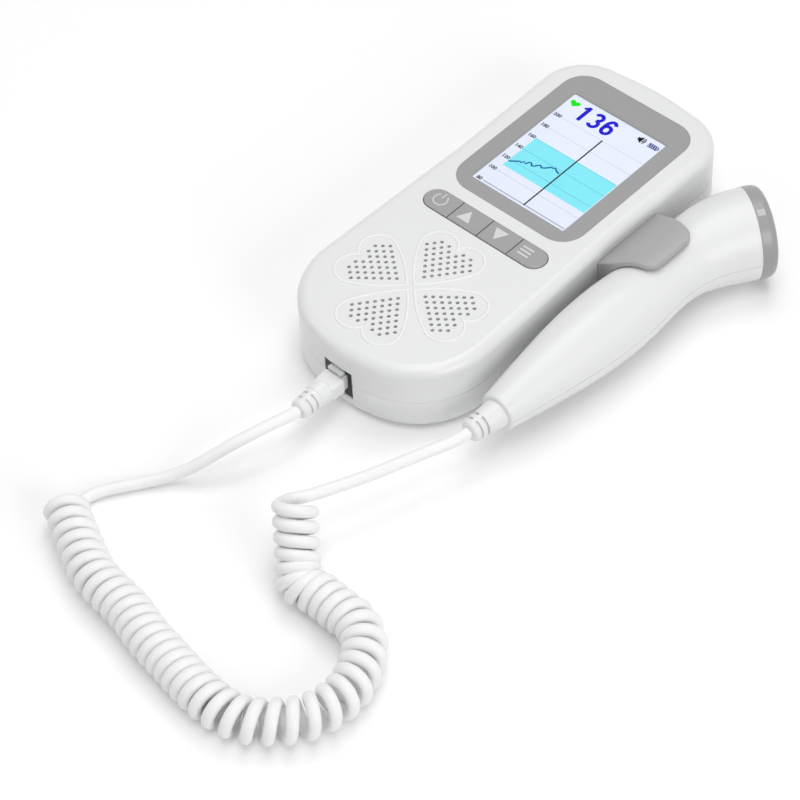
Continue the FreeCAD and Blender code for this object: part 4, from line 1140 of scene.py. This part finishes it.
# ---------------------------------------------------------------- key marks
@dataclass
class KeyMarks:
    """The pale signs on the four keys, in millimetres from the row's middle."""

    finishes: Finishes
    row_y: float = -10.7
    raised: float = 0.06
    sunk: float = 0.01
    line: float = 0.5
    power_x: float = -21.9
    power_radius: float = 2.75
    up_x: float = -8.85
    down_x: float = 6.05
    bar_ends: tuple[float, float] = (16.6, 21.6)
    bar_rows: tuple[float, ...] = (-1.5, 0.3, 2.1)
    bar_width: float = 0.75
    corner: float = 0.18

    def at(self, x: float, y: float) -> Vector:
        """A point on the keys' tops."""
        return mm(x, self.row_y + y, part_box("up_button")[1].z / MM - self.sunk)

    def put(self, name: str, outlines: list[list[Vector]], body: Body) -> None:
        """Raises a sign on its key."""
        settle(MeshMaker.plate(name, outlines, self.raised * MM, self.finishes.marks), body)

    def build(self) -> None:
        """Makes the four signs."""
        self.put("power_sign", self.power(self.power_x, 0.3), Body.POWER)
        self.put("up_sign", [self.triangle(self.up_x, 0.2, 1)], Body.RISE)
        self.put("down_sign", [self.triangle(self.down_x, 0.2, -1)], Body.DROP)
        bars = [[self.at(x, y) for x in self.bar_ends] for y in self.bar_rows]
        self.put("menu_sign", [MeshMaker.stroke(bar, self.bar_width * MM) for bar in bars], Body.MENU)

    def power(self, x: float, y: float) -> list[list[Vector]]:
        """A ring open at its top, with a bar through the gap.

        Args:
            x: the ring's middle along the row.
            y: the ring's middle across it.

        Returns:
            The outlines of both.
        """
        ring = arc_points(self.at(x, y), self.power_radius * MM, 122, 418, 40)
        bar = [self.at(x, y + 0.6), self.at(x, y + 3.6)]
        return [MeshMaker.stroke(ring, self.line * MM), MeshMaker.stroke(bar, self.line * MM)]

    def triangle(self, x: float, y: float, way: int) -> list[Vector]:
        """A rounded triangle that points up or down.

        Args:
            x: its middle along the row.
            y: its middle across it.
            way: 1 for up and -1 for down.

        Returns:
            Its outline.
        """
        half, low, high = 3.0, -2.7 * way, 2.75 * way
        corners = [self.at(x - half * way, y + low), self.at(x + half * way, y + low), self.at(x, y + high)]
        return rounded_corners(corners, self.corner * MM)


# ---------------------------------------------------------------- painted shade in the speaker holes
@dataclass
class SpeakerHoleShade:
    """A dark grey disc laid a little below the grille's top and seen through its holes: painted shade for the
    holes' depth.
    """

    finishes: Finishes
    centre: tuple[float, float] = (-0.4, -49.73)
    radius: float = 26.4
    top: float = 29.5
    thickness: float = 0.15

    def build(self) -> None:
        """Lays the painted-shade disc across the grille."""
        middle = mm(*self.centre, self.top - self.thickness)
        rim = arc_points(middle, self.radius * MM, 0, 360, 72)[:-1]
        piece = MeshMaker.plate("speaker_hole_shade", [rim], self.thickness * MM, self.finishes.hole_shade_sheet)
        settle(piece, Body.MONITOR)


# ---------------------------------------------------------------- bezel seal
@dataclass
class BezelSeal:
    """The thin bead of sealant in the gap between the bezel and the case."""

    finishes: Finishes
    centre_y: float = 38.5
    half_width: float = 29.15
    half_length: float = 38.4
    radius: float = 10.0
    bead: float = 0.36
    top: float = 29.9
    thickness: float = 0.2

    def build(self) -> None:
        """Lays the bead round the bezel, in two halves."""
        across, along = self.half_width - self.radius, self.half_length - self.radius
        centres = [mm(x * across, self.centre_y + y * along, self.top - self.thickness)
                   for x, y in SQUARE]
        line: list[Vector] = []
        for quarter, centre in enumerate(centres):
            line += arc_points(centre, self.radius * MM, 180 + 90 * quarter, 270 + 90 * quarter, 12)
        half = len(line) // 2
        halves = [line[:half + 1], line[half:] + line[:1]]
        outlines = [MeshMaker.stroke(part, self.bead * MM) for part in halves]
        piece = MeshMaker.plate("bezel_seal", outlines, self.thickness * MM, self.finishes.bezel)
        settle(piece, Body.MONITOR)


# ---------------------------------------------------------------- painted reflection on the probe cap
@dataclass
class CapReflection:
    """A pale raised patch on the probe's cap ring, whose pale grey is a painted reflection of a softbox on
    the ring.
    """

    finishes: Finishes
    cap_radius: float = 17.38
    heading: float = 33.29
    around: float = 68.5
    half_angle: float = 4.4
    near: float = 1.3
    far: float = 4.3
    raised: float = 0.12
    sunk: float = 0.1
    ring_behind: float = 3.2
    steps: int = 8

    def build(self) -> None:
        """Wraps the painted reflection onto the ring."""
        low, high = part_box("probe_cap_ring")
        heading = math.radians(self.heading)
        way = Vector((math.sin(heading), math.cos(heading), 0))
        side = Vector((way.y, -way.x, 0))
        start = (low + high) / 2 - way * (self.ring_behind * MM)
        steps = self.steps
        points: list[Vector] = []
        for lift in (-self.sunk, self.raised):
            for along in (self.near, self.far):
                for i in range(steps + 1):
                    angle = math.radians(self.around + self.half_angle * (2 * i / steps - 1))
                    spoke = side * math.cos(angle) + UP * math.sin(angle)
                    points.append(start + way * (along * MM) + spoke * ((self.cap_radius + lift) * MM))
        row = steps + 1
        faces: list[tuple[int, ...]] = []
        for i in range(steps):
            faces.append((i, i + 1, row + i + 1, row + i))
            top = 2 * row
            faces.append((top + i + 1, top + i, top + row + i, top + row + i + 1))
            faces.append((i + 1, i, top + i, top + i + 1))
            faces.append((row + i, row + i + 1, top + row + i + 1, top + row + i))
        faces.append((0, row, 3 * row, 2 * row))
        faces.append((row + steps, steps, 2 * row + steps, 3 * row + steps))
        piece = MeshMaker.piece("probe_painted_reflection", points, faces, self.finishes.index)
        settle(piece, Body.PROBE)


# ---------------------------------------------------------------- cord
@dataclass
class CurlyCord:
    """The cord: a lead to the plug, the wound coil and a lead to the probe.

    Routes are in millimetres.
    """

    finishes: Finishes
    diameter: float = 4.5
    coil_radius: float = 5.75
    turns: int = 45
    steps_per_turn: int = 40
    sides: int = 16
    first_angle: float = -90.0
    last_angle: float = -150.0
    tilt_reach: float = 8.0
    axis_step: float = 0.2
    lead_step: float = 0.8
    plug_run: float = 3.5
    probe_run: float = 5.5

    PLUG_LEAD = (
        (-1.0, -108.5, 13.9), (-1.3, -112.8, 14.5), (-3.5, -119.3, 14.5), (-5.9, -126.0, 13.6),
        (-9.0, -133.4, 11.9), (-12.0, -139.9, 9.5), (-15.0, -146.0, 6.9), (-19.6, -151.5, 3.8),
        (-25.2, -158.9, 2.45), (-31.5, -167.7, 2.45), (-35.0, -173.3, 2.45), (-37.0, -179.6, 2.45),
    )
    COIL_AXIS = (
        (-36.0, -188.2, 8.0), (-20.5, -196.0, 8.0), (-7.5, -202.3, 8.0), (3.5, -204.0, 8.0),
        (14.5, -205.0, 8.0), (25.5, -208.5, 8.0), (37.5, -210.2, 8.0), (50.0, -212.5, 8.0),
        (62.5, -213.8, 8.0), (73.0, -212.3, 8.0), (81.0, -206.6, 8.0), (87.4, -199.8, 8.0),
        (91.0, -191.5, 8.0), (91.8, -181.5, 8.0), (88.3, -171.0, 8.0), (82.8, -163.2, 8.0),
        (74.5, -158.8, 8.0), (65.4, -159.2, 8.0), (57.6, -158.4, 8.0), (52.0, -159.6, 8.0),
        (48.3, -160.1, 8.3), (46.6, -157.9, 10.4), (43.9, -155.0, 13.2), (41.2, -152.2, 16.6),
        (38.6, -149.6, 20.4), (36.3, -147.3, 24.0), (34.5, -145.4, 26.5),
    )
    PITCHES = (
        (0, 6.0), (1.5, 5.5), (4, 5.3), (10, 4.8), (19, 4.4), (22, 5.95), (26, 6.4), (30, 5.8), (33, 5.8),
        (35.5, 4.7), (38, 4.75), (38.6, 4.15), (41, 4.15), (41.6, 5.25), (50, 5.3),
    )
    PROBE_LEAD = (
        (52.8, -79.1, 17.4), (52.2, -84.1, 17.4), (49.2, -91.6, 17.3), (45.2, -101.8, 17.3),
        (42.2, -111.6, 17.9), (38.7, -121.6, 18.8), (35.1, -131.4, 19.9), (32.2, -139.0, 21.0),
    )
    PLUG_BLEND = ((-1.0, -111.0, 13.9), (-33.0, -174.0, 2.5))
    PROBE_BLEND = ((52.5, -82.0, 17.0), (33.0, -138.0, 21.5))

    def line_of(self, name: str, route: list[Vector]) -> list[Vector]:
        """The smooth line of a route: a spline with the route's points as its control points.

        Args:
            name: a name for the curve while it exists.
            route: the route's points.

        Returns:
            Points close together along the line.
        """
        curve = bpy.data.curves.new(name, "CURVE")
        curve.dimensions = "3D"
        spline = curve.splines.new("NURBS")
        spline.points.add(len(route) - 1)
        for point, place in zip(spline.points, route):
            point.co = (*place, 1.0)
        spline.order_u = 3
        spline.use_endpoint_u = True
        spline.resolution_u = 24
        mesh = meshed(name, curve)
        line = [v.co.copy() for v in mesh.vertices]
        bpy.data.meshes.remove(mesh)
        return line

    @staticmethod
    def length(line: list[Vector]) -> float:
        """How long a line of points is."""
        return sum((b - a).length for a, b in zip(line, line[1:]))

    @staticmethod
    def evenly(line: list[Vector], step: float) -> list[Vector]:
        """Points along a line, a step apart.

        Args:
            line: the line's own points.
            step: the distance between the new ones.

        Returns:
            The new points, with the line's two ends among them.
        """
        spaced = [line[0]]
        rest = 0.0
        for a, b in zip(line, line[1:]):
            run = (b - a).length
            while run > 0 and rest + run >= step:
                share = (step - rest) / run
                a = a.lerp(b, share)
                spaced.append(a)
                run = (b - a).length
                rest = 0.0
            rest += run
        if (line[-1] - spaced[-1]).length > step * 0.3:
            spaced.append(line[-1])
        return spaced

    def pitch(self, turn: float) -> float:
        """The distance from one turn to the next.

        Args:
            turn: how many turns from the coil's start.

        Returns:
            The distance in metres.
        """
        for (start, first), (end, second) in zip(self.PITCHES, self.PITCHES[1:]):
            if turn <= end:
                share = (turn - start) / (end - start)
                return (first + (second - first) * share) * MM
        return self.PITCHES[-1][1] * MM

    def turns_in(self, length: float, squeeze: float) -> float:
        """How many turns the pitches give.

        Args:
            length: the stretch of the coil's middle line, in metres.
            squeeze: what every pitch is multiplied by.

        Returns:
            The number of turns.
        """
        turn, gone = 0.0, 0.0
        step = 1.0 / self.steps_per_turn
        while gone < length:
            gone += self.pitch(turn) * squeeze * step
            turn += step
        return turn

    def wound(self, axis: list[Vector]) -> list[Vector]:
        """The left-handed helix round the coil's middle line.

        Args:
            axis: points along the middle line, evenly spaced.

        Returns:
            Points along the cord.
        """
        spacing = (axis[1] - axis[0]).length
        total = spacing * (len(axis) - 1)
        squeeze = self.turns_in(total, 1.0) / self.turns
        steps = round((self.turns * 360 + self.last_angle - self.first_angle) / 360 * self.steps_per_turn)
        reach = round(self.tilt_reach * MM / spacing)
        points, gone = [], 0.0
        for k in range(steps + 1):
            i = min(int(gone / spacing), len(axis) - 2)
            centre = axis[i].lerp(axis[i + 1], gone / spacing - i)
            way = (axis[min(i + reach, len(axis) - 1)] - axis[max(i - reach, 0)]).normalized()
            right = way.cross(UP).normalized()
            above = right.cross(way)
            angle = math.radians(self.first_angle + 360 * k / self.steps_per_turn)
            spoke = right * math.cos(angle) + above * math.sin(angle)
            points.append(centre + spoke * (self.coil_radius * MM))
            gone += self.pitch(k / self.steps_per_turn) * squeeze / self.steps_per_turn
        return points

    def build(self) -> None:
        axis = self.evenly(self.line_of("coil_axis", [mm(*p) for p in self.COIL_AXIS]), self.axis_step * MM)
        coil = self.wound(axis)
        wound = self.strand("curly_cord", coil)
        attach(wound, Body.MONITOR.value)
        self.declare(wound, coil, "cord_coil")
        into = Vector((*(coil[1] - coil[0]).xy, 0)).normalized()
        out = (coil[-1] - coil[-2]).normalized()
        self.plug_stretch([coil[0], coil[0] - into * (self.plug_run * MM)])
        self.probe_stretch([coil[-1] + out * (self.probe_run * MM), coil[-1]])

    def strand(self, name: str, line: list[Vector]) -> bpy.types.Object:
        """The cord's own tube along a line."""
        return MeshMaker.tube(name, line, self.diameter * MM / 2, self.sides, self.finishes.cord)

    def plug_stretch(self, entry: list[Vector]) -> None:
        """The lead from the coil's first turn to the plug in its socket.

        Args:
            entry: its first points, which run out of the coil.
        """
        route = entry + [mm(*p) for p in reversed(self.PLUG_LEAD)]
        line = self.evenly(self.line_of("plug_lead_line", route), self.lead_step * MM)
        lead = self.strand("plug_lead", line)
        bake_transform(lead)
        self.declare(lead, line, "cord_plug_lead")

    def probe_stretch(self, entry: list[Vector]) -> None:
        """The lead from the probe's strain relief to the coil's last turn.

        Args:
            entry: its last points, which run into the coil.
        """
        route = [mm(*p) for p in self.PROBE_LEAD] + entry
        line = self.evenly(self.line_of("probe_lead_line", route), self.lead_step * MM)
        lead = self.strand("probe_lead", line)
        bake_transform(lead)
        self.declare(lead, line, "cord_probe_lead")

    def declare(self, piece: bpy.types.Object, line: list[Vector], node: str) -> None:
        """Hides the solid that one stretch stands for and logs the stretch's length.

        Args:
            piece: the stretch's mesh.
            line: the points that it follows.
            node: the solid that it stands for.
        """
        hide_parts(node)
        self.length(line)
        LOG.info("cord %s, %.3f m", piece.name, self.length(line))


# ---------------------------------------------------------------- studio
@dataclass
class Studio:
    """Pale floor, soft light and the camera."""

    floor_size: float = 8.0
    floor_white: float = 1.0
    floor_lift: float = 0.03
    floor_bounce: float = 0.86
    sky: float = 0.44
    camera_place: tuple[float, float, float] = (495.35, -548.58, 762.89)
    camera_back: tuple[float, float, float] = (0.47210, -0.46656, 0.74796)
    camera_right: tuple[float, float, float] = (0.73391, 0.67805, -0.04027)
    lens: float = 128.86
    sensor: float = 36.0
    clip_start: float = 0.01
    aim: tuple[float, float, float] = (0.0, -0.03, 0.0)
    floor_gap: float = 0.0003

    def build(self) -> None:
        """Makes the floor, the lights and the camera."""
        self.floor()
        self.world()
        self.softbox("far_light", (-0.2, 0.4, 1.3), 0.7, 4.6)
        self.softbox("overhead_light", (0.3, -0.3, 1.5), 0.7, 4.7)
        self.softbox("left_light", (-1.2, -0.7, 0.9), 0.8, 2.8)
        self.softbox("right_light", (1.4, -0.3, 0.7), 0.8, 7.0)
        self.camera()
        bpy.context.scene.view_settings.view_transform = "Standard"

    def seen_directly(self, draw: Sketch) -> bpy.types.NodeSocket:
        """Tells what the camera sees, straight or through glass and gloss.

        Args:
            draw: the tree that needs to know.

        Returns:
            An output that is 1 there and 0 elsewhere.
        """
        path = draw.add("ShaderNodeLightPath").outputs
        seen = draw.maths("MAXIMUM", path["Is Camera Ray"], path["Is Glossy Ray"])
        return draw.maths("MAXIMUM", seen, path["Is Transmission Ray"])

    def floor(self) -> None:
        """A plain pale floor, which takes the object's shadow."""
        half = self.floor_size / 2
        corners = [Vector((x * half, y * half, -self.floor_gap)) for x, y in SQUARE]
        material = bpy.data.materials.new("studio_floor")
        material.use_nodes = True
        draw = Sketch(material.node_tree)
        shader = material.node_tree.nodes["Principled BSDF"]
        dull, white = ((*grey(level), 1.0) for level in (self.floor_bounce, self.floor_white))
        seen = self.seen_directly(draw)
        draw.feed(shader.inputs["Base Color"], draw.mixed(seen, dull, white))
        shader.inputs["Emission Color"].default_value = (1.0, 1.0, 1.0, 1.0)
        draw.feed(shader.inputs["Emission Strength"], draw.maths("MULTIPLY", seen, self.floor_lift))
        shader.inputs["Roughness"].default_value = 0.9
        shader.inputs["Specular IOR Level"].default_value = 0.0
        piece = MeshMaker.piece("studio_floor", corners, [(0, 1, 2, 3)], material)

    def world(self) -> None:
        """An even sky, white where the camera sees it."""
        world = bpy.data.worlds.new("studio_sky")
        bpy.context.scene.world = world
        world.use_nodes = True
        draw = Sketch(world.node_tree)
        strength = draw.spread(self.seen_directly(draw), (0.0, 1.0), (self.sky, 1.0))
        draw.feed(world.node_tree.nodes["Background"].inputs["Strength"], strength)
        world.node_tree.nodes["Background"].inputs["Color"].default_value = (1.0, 1.0, 1.0, 1.0)

    def softbox(self, name: str, place: tuple[float, float, float], size: float, power: float) -> None:
        """A square lamp that faces the monitor.

        Args:
            name: the lamp's name.
            place: where it hangs.
            size: the length of its side.
            power: its power in watts.
        """
        lamp = bpy.data.lights.new(name, "AREA")
        lamp.size = size
        lamp.energy = power
        holder = added(name, lamp)
        holder.location = place
        heading = Vector(self.aim) - Vector(place)
        holder.rotation_euler = heading.to_track_quat("-Z", "Y").to_euler()

    def camera(self) -> None:
        """The camera, set by its place and two of its directions."""
        data = bpy.data.cameras.new("studio_camera")
        data.lens = self.lens
        data.sensor_width = self.sensor
        data.clip_start = self.clip_start
        holder = added("studio_camera", data)
        back = Vector(self.camera_back).normalized()
        right = Vector(self.camera_right)
        right = (right - back * right.dot(back)).normalized()
        above = back.cross(right)
        turn = Matrix((right, above, back)).transposed()
        holder.matrix_world = Matrix.Translation(mm(*self.camera_place)) @ turn.to_4x4()
        bpy.context.scene.camera = holder


def main() -> None:
    """Builds the studio, the cord and every dressed piece."""
    logging.basicConfig(level=logging.INFO)
    Studio().build()
    finishes = Finishes(Effects())
    CurlyCord(finishes).build()
    finishes.dress()
    LitDisplay(finishes).build()
    KeyMarks(finishes).build()
    SpeakerHoleShade(finishes).build()
    BezelSeal(finishes).build()
    CapReflection(finishes).build()


if __name__ == "__main__":
    main()
